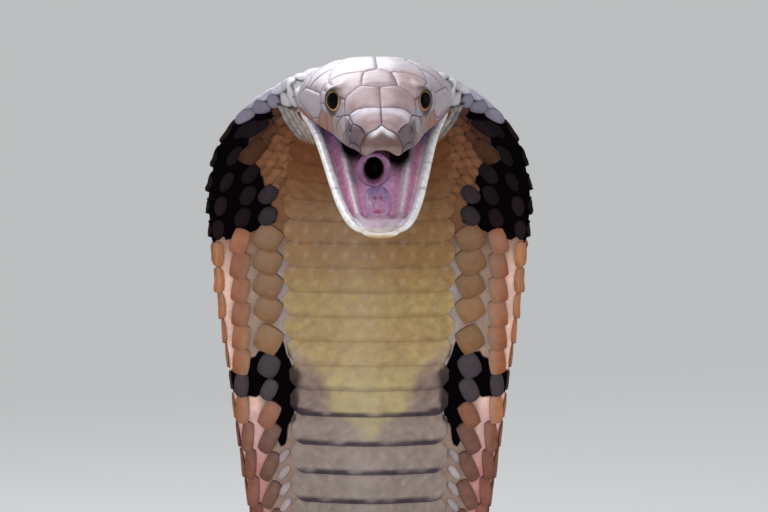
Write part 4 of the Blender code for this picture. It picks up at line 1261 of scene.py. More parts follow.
# Corners of the plates on one side, in millimetres behind the snout and round from the middle of the crown
SEAMS = (
    ((0, 0), (3, 0.1), (6, 0)),  # between the internasals
    ((6, 0), (6.4, 2.6), (7, 5.2), (7.8, 8.2), (8, 10.6)),  # internasal and prefrontal
    ((0, 5.8), (2.6, 8.2), (4, 9.5), (8, 10.6)),  # internasal and nasals
    ((4, 9.5), (3.4, 11.6), (2.5, 13.5)),  # between the nasals, through the nostril
    ((0.5, 11.3), (2.5, 13.5), (6.5, 13.9), (10.5, 12.8), (8, 10.6)),  # under the nasals
    ((6, 0), (12, -0.1), (17.5, 0)),  # between the prefrontals
    ((17.5, 0), (18, 2.8), (19, 5.5)),  # prefrontal and frontal
    ((19, 5.5), (17.2, 8.6), (15.6, 11.5)),  # prefrontal and supraocular
    ((15.6, 11.5), (13, 12.4), (10.5, 12.8)),  # prefrontal and preocular
    ((19, 5.5), (26, 4.9), (32, 4.1), (36, 0)),  # frontal
    ((15.6, 11.5), (19.5, 13.2)),  # supraocular, before the eye
    ((27.2, 14.4), (31, 15.4), (36, 16.2)),  # supraocular, behind the eye
    ((32, 4.1), (33.2, 8.0), (34.6, 12.4), (36, 16.2)),  # supraocular and parietal
    ((36, 0), (46, 0.1), (56.5, 0)),  # between the parietals
    ((36, 16.2), (41, 15.2), (45.5, 13.8), (50.5, 11.6), (54, 9.4), (56.5, 0)),  # parietal
    ((26.6, 17.2), (30, 17.9), (33.6, 18.6)),  # between the postoculars
    ((25.6, 19.6), (29, 21.2), (32.9, 22.2)),
    ((36, 16.2), (36, 20.5)),  # postoculars and temporals
    ((36, 20.5), (34, 22), (32.5, 24.2)),
    ((32.5, 24.2), (38, 29.2), (44.5, 32.3), (52, 32.6), (59, 31.4)),  # lower temporal
    ((59, 31.4), (55.4, 28), (51, 25)),
    ((51, 25), (43, 22.6), (36, 20.5)),
    ((51, 25), (54.4, 21), (55.6, 15.5), (54, 9.4)),  # upper temporal
    ((45.5, 13.8), (46.6, 18.6), (47.4, 23.6)),
    ((19.6, 19.0), (16, 17.6), (13.4, 15.2), (10.5, 12.8)),  # preocular and labials
    ((19.6, 13.4), (17.8, 15.4), (16, 17.6)),
    ((25.0, 20.6), (28, 23.9), (32.5, 24.2)),  # postoculars and labials
    ((28, 23.9), (29.4, 27), (30.4, 31.2)),  # between the labials
    ((22.4, 20.8), (23.8, 25.0), (24.8, 29.4)),
    ((13.4, 15.2), (16.6, 20.6), (18.6, 26.4)),
    ((6.5, 13.9), (8.6, 17.4), (10, 21.6)),
    ((2.5, 13.5), (3.4, 15.4), (4, 17.4)),
    ((37, 28.4), (38.4, 31.0), (39, 33.4)),
    ((46, 32.5), (47, 33.6), (47.6, 35.4)),
    ((54, 9.4), (60, 11.4), (66.5, 11.8), (68, 0)),  # occipital
    ((56.5, 0), (62, 0.1), (68, 0)),
    ((55.6, 15.5), (61, 17.4), (63.6, 24.0), (59, 31.4)),  # rear temporals
    ((60, 11.4), (61, 17.4)),
)
# The outline of the plate at the front of the snout, in millimetres aside and above the lips
ROSTRAL = (
    (0.0, 7.4), (0.7, 7.0), (1.6, 6.3), (2.9, 5.7), (4.1, 5.1), (4.9, 4.2), (5.5, 2.9), (6.2, 1.2),
    (6.3, 0.0), (5.8, -2.5),
)
SNOUT_LENGTH = 7  # millimetres of the head on which that plate is drawn
SEAMS_END = 67  # millimetres behind the snout
NO_SEAM = 9.0  # a distance at which no seam shows
CAP_LENGTH = 0.007  # of the rounded front, as its rows are counted
SEAM_WOBBLE = 0.07
PLATE_SWELL, PLATE_SHOULDER = 0.00034, 0.9  # height, and millimetres from a seam over which a plate rises
EYE_AXIS_OUT, EYE_AXIS_UP = math.radians(52.0), math.radians(4.0)
EYE_CENTRE = (0.0142, 0.0226, 0.0107)  # of its window: aside, behind the snout, above the lips
EYE_WINDOW, EYE_BALL = 0.00315, 0.0044
SOCKET_WIDTH = 0.0024
EYE_RING_AND_BROW_SHADOW = (0.035, 0.022, 0.030)
NOSTRIL = (4.4, 11.7, 0.85)  # millimetres behind the snout, round from the middle, and size


def respaced(line, count):
    """Points at even lengths along a line of points, and the line's length."""
    runs = np.concatenate([[0.0], np.cumsum(np.linalg.norm(np.diff(line, axis=0), axis=1))])
    at = np.linspace(0.0, runs[-1], count)
    return np.stack([np.interp(at, runs, line[:, k]) for k in range(3)], axis=1), runs[-1]


def cap_shares():
    """How far the rounded front has closed, from its root to its pole."""
    return np.sin(np.linspace(0.0, math.pi / 2, CAP_ROWS + 1))[1:]


def cap_reach(closed):
    return (1 - (1 - closed) ** CAP_POWER) ** (1 / CAP_POWER)


def capped(root, closed, level):
    """A section drawn in towards the middle of its lip, and pushed forward. level is its lip's height."""
    row = root.copy()
    row[:, 0] *= 1 - closed
    row[:, 1] += CAP_DEPTH * cap_reach(closed)
    row[:, 2] = level(row[:, 0]) + (root[:, 2] - level(root[:, 0])) * (1 - closed)
    return row


def outward(sheet):
    """The ways out of a sheet whose rows run to the neck and whose columns run from right to left."""
    across = np.gradient(sheet, axis=1)
    along = np.gradient(sheet, axis=0)
    out = np.cross(across, along)
    size = np.linalg.norm(out, axis=2, keepdims=True)
    return np.where(size > 1e-14, out / np.maximum(size, 1e-14), (0.0, 1.0, 0.0))


def from_line(at, line):
    """Distance from each point to a line of corners."""
    nearest = np.full(at.shape[:-1], NO_SEAM)
    for first, last in zip(line, line[1:]):
        first, way = np.array(first, float), np.subtract(last, first).astype(float)
        share = np.clip(((at - first) @ way) / (way @ way), 0.0, 1.0)
        nearest = np.minimum(nearest, np.linalg.norm(at - first - share[..., None] * way, axis=-1))
    return nearest


def from_seam(behind, round_, places):
    """Distance in millimetres from each point to the nearest seam."""
    wobble = SEAM_WOBBLE * (np.sin(behind * 1.9 + round_ * 0.7) + np.sin(round_ * 2.3 - behind * 0.6))
    at = np.stack([behind + wobble, np.abs(round_) + 0.7 * wobble * (np.abs(round_) > 1.5)], axis=-1)
    nearest = np.min([from_line(at, seam) for seam in SEAMS], axis=0)
    nearest = np.where(on_rostral(places, behind, 0.6) > 0.5, NO_SEAM, nearest)
    front = np.stack([np.abs(places[..., 0]), places[..., 2]], axis=-1) * 1000
    return np.minimum(nearest, np.where(behind < SNOUT_LENGTH, from_line(front, ROSTRAL), NO_SEAM))


def below_rostral_edge(places):
    """How far each point is below the upper edge of the plate at the front of the snout, in millimetres."""
    aside, up = np.array(ROSTRAL[:-2], float).T
    top = np.interp(np.abs(places[..., 0]) * 1000, aside, up)
    return np.where(np.abs(places[..., 0]) * 1000 > aside[-1] + 0.05, -NO_SEAM, top - places[..., 2] * 1000)


def on_rostral(places, behind, margin=0.0):
    """1 on the plate at the front of the snout, and within a margin of it."""
    return above(below_rostral_edge(places), -margin, 0.3) * (behind < SNOUT_LENGTH)


def eye_frame(side):
    """The middle of the eye's window and the way it looks, in the head's frame."""
    aside, behind, up = EYE_CENTRE
    centre = np.array([side * aside, HEAD_LENGTH - behind, up])
    level = math.cos(EYE_AXIS_UP)
    axis = (side * math.sin(EYE_AXIS_OUT) * level, math.cos(EYE_AXIS_OUT) * level, math.sin(EYE_AXIS_UP))
    return centre, np.array(axis)


def ball_height(radius):
    """Height of the eyeball over the plane of its window."""
    inside = np.maximum(EYE_BALL**2 - radius**2, 0.0)
    return np.sqrt(inside) - math.sqrt(EYE_BALL**2 - EYE_WINDOW**2)


def beside_eye(sheet, side):
    """Where the points of a sheet are from an eye's window, and which of them are near it."""
    centre, axis = eye_frame(side)
    offset = sheet - centre
    height = offset @ axis
    radius = np.linalg.norm(offset - height[..., None] * axis, axis=-1)
    near = (np.abs(height) < 0.008) & (sheet[..., 0] * side > 0)
    return offset, height, radius, near, axis


def seat_eyes(sheet):
    """Opens a window for each eye: the skin dips behind the ball inside it and makes a thin rim round it."""
    moved = sheet.copy()
    for side in (-1, 1):
        _, height, radius, near, axis = beside_eye(sheet, side)
        rim = ball_height(np.minimum(radius, EYE_WINDOW)) + 0.00022 * smooth((radius - EYE_WINDOW) / 0.0003)
        hidden = ball_height(radius) - 0.0012
        wanted = np.where(radius < EYE_WINDOW, hidden, rim - 0.10 * np.maximum(radius - EYE_WINDOW, 0.0))
        share = 1 - smooth((radius - EYE_WINDOW - 0.0005) / SOCKET_WIDTH)
        shift = np.where(near, (wanted - height) * share, 0.0)
        moved = moved + shift[..., None] * axis
    return moved


def crown_sheet():
    """The crown and cheeks, lip to lip: places, millimetres behind the snout and round from the middle."""
    rows = [*np.linspace(0.0, HINGE, round(HINGE / CROWN_ROW) + 1)]
    rows += [*np.linspace(HINGE, HEAD_LENGTH, round((HEAD_LENGTH - HINGE) / NAPE_ROW) + 1)[1:]]
    angles = np.linspace(math.pi / 2 + 1e-7, 3 * math.pi / 2 - 1e-7, SECTION_STEPS)
    lines, halves = zip(*(respaced(head_points(row, angles), CROWN_COLUMNS + 1) for row in rows))
    lines = list(lines)
    halves = [length / 2 for length in halves]
    root = lines[0]
    for closed in cap_shares():
        lines.insert(0, capped(root, closed, lambda x: lip_height(x, 0.0)))
        rows.insert(0, -CAP_LENGTH * closed)
        halves.insert(0, halves[0])
    places = np.array(lines)
    behind = 1000 * np.array(rows)[:, None] + 0 * places[..., 0]
    round_ = 1000 * np.array(halves)[:, None] * np.linspace(-1.0, 1.0, CROWN_COLUMNS + 1)[None, :]
    return places, behind, round_


def nostril_share(behind, round_, size):
    """1 inside the nostrils, falling steeply at their edges."""
    away = ((behind - NOSTRIL[0]) / size) ** 2 + ((np.abs(round_) - NOSTRIL[1]) / size) ** 2
    return np.exp(-(away**2))


def head_relief(behind, round_, seam, half):
    """Height of the plates, the folds and the pits over the plain head, in metres."""
    plates = PLATE_SWELL * (1 - np.exp(-seam / PLATE_SHOULDER))
    ends = smooth((70 - behind) / 6)
    lip = smooth((half - np.abs(round_)) / 1.2)
    nostril = -0.0016 * nostril_share(behind, round_, NOSTRIL[2])
    groove = -0.0007 * bump(behind, 15.0, 4.5) * bump(np.abs(round_), 15.2, 2.6)
    brow = 0.0007 * bump(behind, 23.5, 6.0) * bump(np.abs(round_), 11.6, 1.5)
    midline = -0.00025 * bump(round_, 0.0, 1.8) * smooth((behind - 5) / 6) * smooth((20 - behind) / 6)
    under_scales = -COAT_DEPTH * smooth((behind - 60) / 5)
    return plates * ends * (0.25 + 0.75 * lip) + nostril + groove + brow + midline + under_scales


# Where the upper labials and the nasals begin: distance round from the middle, by distance behind the snout
LABIAL_EDGE = (
    (0, 16.0), (10, 16.0), (16, 17.6), (19.6, 19.0), (25, 20.6), (28, 23.9), (32.5, 24.2), (38, 29.2),
    (44.5, 32.3), (59, 32.6),
)
NASAL_EDGE = ((0, 5.8), (2.6, 8.2), (4, 9.5), (8, 10.6))
# The internasals' colour carries a painted highlight.
SNOUT_TOP, INTERNASAL_WITH_HIGHLIGHT, PREFRONTAL = (0.42, 0.29, 0.30), (0.62, 0.54, 0.60), (0.37, 0.245, 0.255)
FRONTAL, BROW, PARIETAL = (0.31, 0.190, 0.200), (0.44, 0.305, 0.300), (0.56, 0.49, 0.53)
CHEEK_FRONT, CHEEK_BACK = (0.40, 0.320, 0.370), (0.43, 0.355, 0.390)
LABIAL_FRONT, LABIAL_BACK = (0.31, 0.200, 0.180), (0.31, 0.112, 0.060)
# The black inside the nostrils is painted shadow.
NASAL, NAPE, NOSTRIL_SHADOW = (0.115, 0.068, 0.064), (0.30, 0.285, 0.345), (0.020, 0.014, 0.014)


def crown_colour(behind, round_, half):
    """Lilac and brown plates, with rust upper lips, dark plates round the nostrils, a painted highlight on
    the internasals and painted shadow inside the nostrils.
    """
    aside = np.abs(round_)
    # painted highlight on the internasals
    top = mix(SNOUT_TOP, INTERNASAL_WITH_HIGHLIGHT, smooth((behind - 2.6) / 2.4))
    top = mix(top, PREFRONTAL, smooth((behind - 5.8 - 0.2 * aside) / 0.5))
    brow = mix(FRONTAL, BROW, smooth(aside - 5.0))
    top = mix(top, brow, smooth((behind - 16) / 4))
    top = mix(top, PARIETAL, smooth((behind - 30) / 14))
    cheek = mix(CHEEK_FRONT, CHEEK_BACK, smooth((behind - 25) / 20))
    colour = mix(top, cheek, smooth((aside / half - 0.42) / 0.2))
    labial = mix(LABIAL_FRONT, LABIAL_BACK, smooth((behind - 18) / 12))
    colour = mix(colour, labial, smooth((aside - curve(LABIAL_EDGE, behind)) / 0.6))
    beyond_nasal = smooth((aside - curve(NASAL_EDGE, behind)) / 0.5)
    colour = mix(colour, NASAL, 0.85 * smooth((9 - behind) / 3) * beyond_nasal)
    colour = mix(colour, NAPE, 0.8 * smooth((behind - 58) / 12))
    blotch = np.sin(behind * 0.9 + 2.0 * np.sin(round_ * 0.55)) * np.sin(aside * 0.8 + 1.3)
    colour = colour * (0.99 + 0.05 * blotch)[..., None]
    # painted shadow inside the nostrils
    return mix(colour, NOSTRIL_SHADOW, 0.95 * nostril_share(behind, round_, 0.8))


def ring_eyes(sheet, colours):
    """Dark skin round each eye, the dark blotch below it and a painted shadow under the edge of the brow."""
    for side in (-1, 1):
        offset, _, radius, near, _ = beside_eye(sheet, side)
        forward, up = offset[..., 1], offset[..., 2]
        ring = 0.9 * smooth((EYE_WINDOW + 0.00075 - radius) / 0.0004)
        blotch = 0.95 * bump(up, -0.0037, 0.0011) * bump(forward, 0.0006, 0.0021)
        # painted shadow under the overhanging brow
        brow = 0.8 * bump(up, 0.0040, 0.0007) * bump(forward, 0.0, 0.0026)
        colours = mix(colours, EYE_RING_AND_BROW_SHADOW, np.maximum.reduce([ring, blotch, brow]) * near)
    return colours


def join_edges(sheet, first, last):
    """Moves the sheet's two side edges onto lines of points, and eases the rest after them."""
    share = np.linspace(0.0, 1.0, sheet.shape[1])[None, :, None]
    sheet = sheet + (first[:, None] - sheet[:, :1]) * (1 - smooth(share / 0.3))
    return sheet + (last[:, None] - sheet[:, -1:]) * smooth((share - 0.7) / 0.3)


def palate_sheet(crown, rows):
    """The roof of the mouth, which rises inside the lips, joined to the edges of the crown's rows."""
    angle = np.linspace(math.pi / 2, -math.pi / 2, PALATE_COLUMNS + 1)
    sheet = []
    for behind in rows:
        at = max(behind, 0.0)
        x = lip_half_width(at) * powered(np.sin(angle), 2 / LOWER_SQUARENESS)
        arch = smooth((np.cos(angle) - PALATE_LIP) / PALATE_SLOPE)
        arch = arch * smooth((at - PALATE_STARTS) / PALATE_LENGTH)
        ribs = 0.0007 * bump(np.abs(x) / lip_half_width(at), 0.52, 0.12) * arch
        z = lip_height(x, at) * (1 - arch) + PALATE_RISE * arch - ribs
        line = np.stack([x, np.full(x.shape, HEAD_LENGTH - at), z], axis=1)
        if behind < 0:
            line = capped(line, -behind / CAP_LENGTH, lambda x: lip_height(x, 0.0))
        sheet.append(line)
    return join_edges(np.array(sheet), crown[: len(rows), 0], crown[: len(rows), -1])


JAW_LENGTH = 0.058
JAW_HALF_WIDTH = (
    (0.0, 0.0222), (0.006, 0.0206), (0.015, 0.0186), (0.025, 0.0168), (0.034, 0.0152), (0.043, 0.0134),
    (0.051, 0.0110), (0.0555, 0.0086), (0.0580, 0.0056),
)
JAW_DEPTH = ((0.0, 0.0105), (0.020, 0.0084), (0.040, 0.0070), (0.051, 0.0052), (0.058, 0.0024))
JAW_ROW, JAW_CAP_DEPTH = 0.0004, 0.0008
RIM_WIDTH, RIM_ROUND = 0.0026, 0.0006
FLOOR_PROFILE = ((0.0, 0.0034), (0.24, 0.0038), (0.46, 0.0046), (0.66, 0.0022), (0.88, 0.0046), (1.0, 0.0))
FLOOR_CLOSES = (0.044, 0.053)
THROAT_DEPTH, THROAT_ROWS = 0.017, 10


def from_jaw(points):
    """Points in the head's frame, of points before the corners of the mouth in the lower jaw's own."""
    y, z = points[..., 1], points[..., 2]
    turned_y = HEAD_LENGTH - HINGE + y * math.cos(GAPE) + z * math.sin(GAPE)
    return np.stack([points[..., 0], turned_y, z * math.cos(GAPE) - y * math.sin(GAPE)], axis=-1)


def floor_height(x, before):
    """The floor of the mouth: a rounded lip, a groove, a ridge, another groove and a mound in the middle."""
    half = curve(JAW_HALF_WIDTH, before)
    inner = half - RIM_WIDTH
    from_edge = (half - np.abs(x)) / RIM_WIDTH
    lip = RIM_ROUND * np.sin(math.pi * np.clip(from_edge, 0.0, 1.0)) ** 0.8
    open_ = 1 - smooth((before - FLOOR_CLOSES[0]) / (FLOOR_CLOSES[1] - FLOOR_CLOSES[0]))
    depth = curve(FLOOR_PROFILE, np.abs(x) / inner) * open_
    return np.where(from_edge < 1, lip, -depth)


def jaw_sheets():
    """The outside and the floor of the lower jaw, with its rounded front, in the head's frame."""
    rows = np.linspace(0.0, JAW_LENGTH, round(JAW_LENGTH / JAW_ROW) + 1)
    angle = np.linspace(math.pi / 2, -math.pi / 2, SECTION_STEPS)
    side, under = powered(np.sin(angle), 2 / LOWER_SQUARENESS), powered(np.cos(angle), 2 / LOWER_SQUARENESS)
    outside, floor = [], []
    for before in rows:
        half, depth = float(curve(JAW_HALF_WIDTH, before)), float(curve(JAW_DEPTH, before))
        line = np.stack([half * side, np.full(side.shape, before), -depth * under], axis=1)
        outside.append(respaced(line, UNDER_COLUMNS + 1)[0])
        x = half * np.linspace(1.0, -1.0, FLOOR_COLUMNS + 1)
        floor.append(np.stack([x, np.full(x.shape, before), floor_height(x, before)], axis=1))
    for closed in cap_shares():
        for sheet in (outside, floor):
            line = sheet[len(rows) - 1] * (1 - closed, 1.0, 1 - closed)
            line[:, 1] += JAW_CAP_DEPTH * cap_reach(closed)
            sheet.append(line)
    return np.array(outside), np.array(floor), np.append(rows, JAW_LENGTH + CAP_LENGTH * cap_shares())


LIP_SEAM, LIP_SEAMS = (0.26, 0.20, 0.22), (0.0096, 0.0248, 0.0375)
LIP_CREAM, JAW_CREAM, CHIN_OCHRE, JAW_OCHRE = (
    (0.93, 0.90, 0.84), (0.74, 0.60, 0.44), (0.62, 0.400, 0.215), (0.34, 0.235, 0.140),
)
FLOOR_PINK, RIDGE_WHITE = (0.82, 0.48, 0.76), (0.99, 0.95, 0.99)
OUTER_GROOVE, INNER_GROOVE = (0.74, 0.27, 0.46), (0.78, 0.33, 0.54)
FLOOR_FRONT, FLOOR_TIP = (0.80, 0.66, 0.74), (0.86, 0.76, 0.68)
# the near black is painted shadow under the snout
CORNER_PURPLE, UNDER_SNOUT_SHADOW = (0.30, 0.17, 0.40), (0.010, 0.003, 0.006)
LIP_SHADE, LIP_WHITE = (0.68, 0.62, 0.78), (0.98, 0.97, 0.99)


def lip_seams(before):
    """1 along the seams across the lower lips."""
    return np.maximum.reduce([bump(before, place, 0.00042) for place in LIP_SEAMS])


def jaw_colour(outside, before):
    """Cream lips with faint cross seams, a pale chin, and the throat's ochre behind."""
    from_rim = -outside[..., 2]
    before = before[:, None]
    colour = mix(LIP_CREAM, JAW_CREAM, smooth((from_rim - 0.0012) / 0.003))
    chin = smooth((before - 0.0545) / 0.003) * smooth((from_rim - 0.0002) / 0.0012)
    colour = mix(colour, CHIN_OCHRE, chin)
    colour = mix(colour, LIP_SEAM, 0.6 * lip_seams(before) * smooth((0.0055 - from_rim) / 0.001))
    return mix(colour, JAW_OCHRE, smooth((0.016 - before) / 0.016) * smooth((from_rim - 0.003) / 0.003))


def floor_colour(x, before):
    """White wet lips, dark red grooves, pale ridges and a lilac middle, with purple corners and painted
    shadow under the snout towards the throat.
    """
    half = np.maximum(curve(JAW_HALF_WIDTH, before), 1e-6)
    share = np.abs(x) / (half - RIM_WIDTH)
    colour = mix(FLOOR_PINK, RIDGE_WHITE, bump(share, 0.62, 0.13))
    colour = mix(colour, OUTER_GROOVE, 0.9 * bump(share, 0.79, 0.070))
    colour = mix(colour, INNER_GROOVE, 0.85 * bump(share, 0.43, 0.075))
    front = smooth((before - 0.043) / 0.009)
    colour = mix(colour, FLOOR_FRONT, front * (1 - 0.35 * bump(share, 0.0, 0.2)))
    colour = mix(colour, CORNER_PURPLE, smooth((0.014 - before) / 0.010) * smooth((share - 0.42) / 0.25))
    # painted shadow under the snout, on the floor near the throat
    shadow_end = 0.0225 + 0.0035 * smooth(-x / 0.006)
    shadow = smooth((shadow_end - before) / 0.008) * (1 - smooth((share - 0.62) / 0.20))
    colour = mix(colour, UNDER_SNOUT_SHADOW, shadow)
    white = mix(LIP_SHADE, LIP_WHITE, smooth((before - 0.004) / 0.012))
    colour = mix(colour, white, smooth((share - 0.83) / 0.09))
    colour = mix(colour, LIP_SEAM, 0.6 * lip_seams(before) * smooth((share - 0.98) / 0.06))
    return mix(colour, FLOOR_TIP, smooth((before - 0.0553) / 0.0022))


def gullet_half(edge, closed_rows):
    """Half of the pocket behind the mouth, drawn in from an edge to a point."""
    middle = np.array([0.0, edge[:, 1].mean(), 0.0])
    rows = []
    for closed in closed_rows:
        row = middle + (edge - middle) * math.sqrt(max(1 - closed**2, 0.0))
        row[:, 1] -= THROAT_DEPTH * closed
        rows.append(row)
    return np.array(rows)


SEAM_PURPLE = (0.045, 0.020, 0.052)
SEAM_EDGE = (0.09, 0.29)  # millimetres from a seam between which its colour fades
SEAM_LIMIT = 3.0  # the greatest distance from a seam that is painted
# the whitish top of the plate at the front of the snout is a painted highlight
ROSTRAL_BROWN, ROSTRAL_HIGHLIGHT, ROSTRAL_LIP = (0.150, 0.080, 0.066), (0.97, 0.94, 0.99), (0.25, 0.170, 0.145)
# the palate darkens towards the back of the mouth by painted shade
PALATE_PINK, PALATE_SHADE = (0.50, 0.30, 0.36), (0.10, 0.03, 0.05)
UNDER_HEAD = (0.30, 0.235, 0.190)
# the near black of the pocket behind the mouth is painted shadow
GULLET_ROOF_SHADOW, GULLET_END_SHADOW = (0.004, 0.0015, 0.002), (0.001, 0.0005, 0.0006)
GULLET_FLOOR_SHADOW, GULLET_CORNER = (0.014, 0.004, 0.007), (0.26, 0.15, 0.36)


def head_finish():
    """Glossy head plates, with a thin dark seam where the painted distance from a seam is small."""
    material, tree, surface, colour = new_finish("head_plates")
    seam = painted_value(tree, "from_seam", "Fac")
    mottle = texture_node(tree, "ShaderNodeTexNoise", 360.0, 5.0).outputs["Fac"]
    grain = texture_node(tree, "ShaderNodeTexNoise", 1900.0, 3.0).outputs["Fac"]
    colour = shaded(tree, colour, mottle, 0.84, 1.12)
    colour = shaded(tree, colour, grain, 0.95, 1.04)
    colour = stained(tree, colour, SEAM_PURPLE, ranged(tree, seam, *SEAM_EDGE, 1.0, 0.0))
    relief = bumped(tree, mottle, 0.00008, bumped(tree, grain, 0.00003))
    relief = bumped(tree, ranged(tree, seam, 0.0, 0.7, 0.0, 1.0), 0.00010, relief)
    tree.links.new(colour, surface.inputs["Base Color"])
    tree.links.new(ranged(tree, mottle, *NOISE_RANGE, 0.30, 0.46), surface.inputs["Roughness"])
    tree.links.new(relief, surface.inputs["Normal"])
    surface.inputs["Specular IOR Level"].default_value = 0.35
    surface.inputs["Coat Weight"].default_value = 0.12
    surface.inputs["Coat Roughness"].default_value = 0.2
    return material


def lining_finish():
    """Wet lining of the mouth, with small veins and folds under a clear shine, duller in the dark throat."""
    material, tree, surface, colour = new_finish("mouth_lining")
    veins = texture_node(tree, "ShaderNodeTexNoise", 520.0, 6.0).outputs["Fac"]
    folds = texture_node(tree, "ShaderNodeTexNoise", 1500.0, 2.0).outputs["Fac"]
    colour = shaded(tree, colour, veins, 0.78, 1.18)
    grey = brightness(tree, colour)
    tree.links.new(colour, surface.inputs["Base Color"])
    tree.links.new(ranged(tree, veins, *NOISE_RANGE, 0.16, 0.30), surface.inputs["Roughness"])
    tree.links.new(ranged(tree, grey, 0.005, 0.06, 0.0, 0.8), surface.inputs["Coat Weight"])
    tree.links.new(ranged(tree, grey, 0.005, 0.06, 0.02, 0.5), surface.inputs["Specular IOR Level"])
    tree.links.new(bumped(tree, veins, 0.00022, bumped(tree, folds, 0.00012)), surface.inputs["Normal"])
    surface.inputs["Coat Roughness"].default_value = 0.06
    surface.inputs["Subsurface Weight"].default_value = 0.12
    surface.inputs["Subsurface Scale"].default_value = 0.002
    return material


def build_head(plates, lining):
    crown, behind, round_ = crown_sheet()
    half = np.abs(round_[:, -1:])
    seam = np.where(behind > SEAMS_END, NO_SEAM, from_seam(behind, round_, crown))
    aside, up = np.abs(crown[..., 0]) * 1000, crown[..., 2] * 1000
    # painted highlight along the upper edge of the plate at the front of the snout
    rostral_highlight = smooth((2.6 - below_rostral_edge(crown)) / 1.9) * smooth((5 - aside) / 3.5)
    snout = mix(ROSTRAL_BROWN, ROSTRAL_HIGHLIGHT, 0.95 * rostral_highlight)
    snout = mix(snout, ROSTRAL_LIP, smooth((1.6 - up) / 1.5))
    colours = mix(crown_colour(behind, round_, half), snout, on_rostral(crown, behind))
    crown = seat_eyes(crown + outward(crown) * head_relief(behind, round_, seam, half)[..., None])
    crown[0] = crown[0].mean(axis=0)
    colours = ring_eyes(crown, colours)

    rows = behind[:, 0] / 1000
    front_rows = int((rows <= HINGE + 1e-7).sum())
    palate = palate_sheet(crown, rows[:front_rows])
    palate[0] = crown[0, 0]
    # painted shade deeper in the mouth
    palate_tone = mix(PALATE_PINK, PALATE_SHADE, smooth((behind[:front_rows, :1] - 38) / 18))

    angle = np.linspace(math.pi / 2, -math.pi / 2, SECTION_STEPS)
    rear_rows = rows[front_rows - 1 :]
    under = np.array([respaced(head_points(row, angle), UNDER_COLUMNS + 1)[0] for row in rear_rows])
    under = join_edges(under, crown[front_rows - 1 :, 0], crown[front_rows - 1 :, -1])
    outside, floor, before = jaw_sheets()
    outside_tone, floor_tone = jaw_colour(outside, before), floor_colour(floor[..., 0], before[:, None])
    outside, floor = from_jaw(outside), from_jaw(floor)
    under[0] = outside[0]
    to_neck = smooth((rear_rows * 1000 - 57) / 8)[:, None]
    under_tone = mix(outside_tone[0][None, :], UNDER_HEAD, np.broadcast_to(to_neck, under.shape[:2]))
    closed_rows = np.sin(np.linspace(0.0, math.pi / 2, THROAT_ROWS + 1))
    corner = smooth((np.abs(floor[0][:, 0]) / np.abs(floor[0][:, 0]).max() - 0.55) / 0.3)
    # the pocket's floor is near black with painted shadow, except at its purple corners, and darkens to its
    # end
    fold_tone = mix(GULLET_FLOOR_SHADOW, GULLET_CORNER, corner)
    gullet_tone = mix(fold_tone, GULLET_END_SHADOW, smooth(closed_rows * 1.6)[:, None])

    mesh = painted_mesh()
    seam_layer = mesh.verts.layers.float.new("from_seam")
    for vert, distance in zip(add_sheet(mesh, from_head(crown), colours), seam.reshape(-1)):
        vert[seam_layer] = min(distance, SEAM_LIMIT)
    sheets = (
        (under, under_tone, 0),
        (outside, outside_tone, 0),
        (palate, palate_tone, 1),
        (floor, floor_tone, 1),
        # the roof of the pocket, near black with painted shadow
        (gullet_half(palate[-1], closed_rows), GULLET_ROOF_SHADOW, 1),
        (gullet_half(floor[0], closed_rows), gullet_tone, 1),
    )
    for sheet, tone, finish in sheets:
        for vert in add_sheet(mesh, from_head(sheet), tone, finish):
            vert[seam_layer] = SEAM_LIMIT
    piece = add_piece("head_skin", close_skin(mesh, "head_skin"), plates, lining)
    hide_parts("head", "lower_jaw")


LINING = lining_finish()
build_head(head_finish(), LINING)


# The eyes
# Each is a clear polished ball with a nearly round black pupil in a thin golden ring, seated in its window.

EYE_STEPS = 96
PUPIL = (0.00222, 0.00252)  # half width and half height of the pupil
IRIS = (0.00258, 0.00306)  # and of the ring round it
PUPIL_BLACK, EDGE_BROWN, BALL_BROWN = (0.0015, 0.0012, 0.0015), (0.018, 0.010, 0.012), (0.02, 0.012, 0.012)
INNER_GOLD, OUTER_GOLD = (0.34, 0.135, 0.036), (0.66, 0.360, 0.140)


def eye_colour(aside, up, side):
    """Black pupil, golden ring with painted shade over its upper part, and dark edge, by distances from the
    middle of the window.
    """
    up = up - 0.00015
    in_pupil = np.hypot((aside + 0.00062 * side) / PUPIL[0], up / PUPIL[1])
    in_iris = np.hypot((aside + 0.00054 * side) / IRIS[0], (up + 0.00012) / IRIS[1])
    streak = 0.5 + 0.5 * np.sin(np.arctan2(up, aside) * 31.0)
    gold = mix(INNER_GOLD, OUTER_GOLD, smooth((in_iris - 0.84) / 0.14))
    # painted shade over the upper part of the ring, under the brow
    gold = gold * ((0.85 + 0.25 * streak) * (0.40 + 0.68 * smooth((0.0020 - up) / 0.0032)))[..., None]
    colour = mix(PUPIL_BLACK, gold, smooth((in_pupil - 0.99) / 0.07))
    return mix(colour, EDGE_BROWN, smooth((in_iris - 0.985) / 0.07))


def eye_finish():
    material, tree, surface, colour = new_finish("eye")
    tree.links.new(colour, surface.inputs["Base Color"])
    surface.inputs["Roughness"].default_value = 0.06
    surface.inputs["Specular IOR Level"].default_value = 0.06
    ripple = texture_node(tree, "ShaderNodeTexNoise", 900.0).outputs["Fac"]
    tree.links.new(bumped(tree, ripple, 0.000006), surface.inputs["Normal"])
    return material


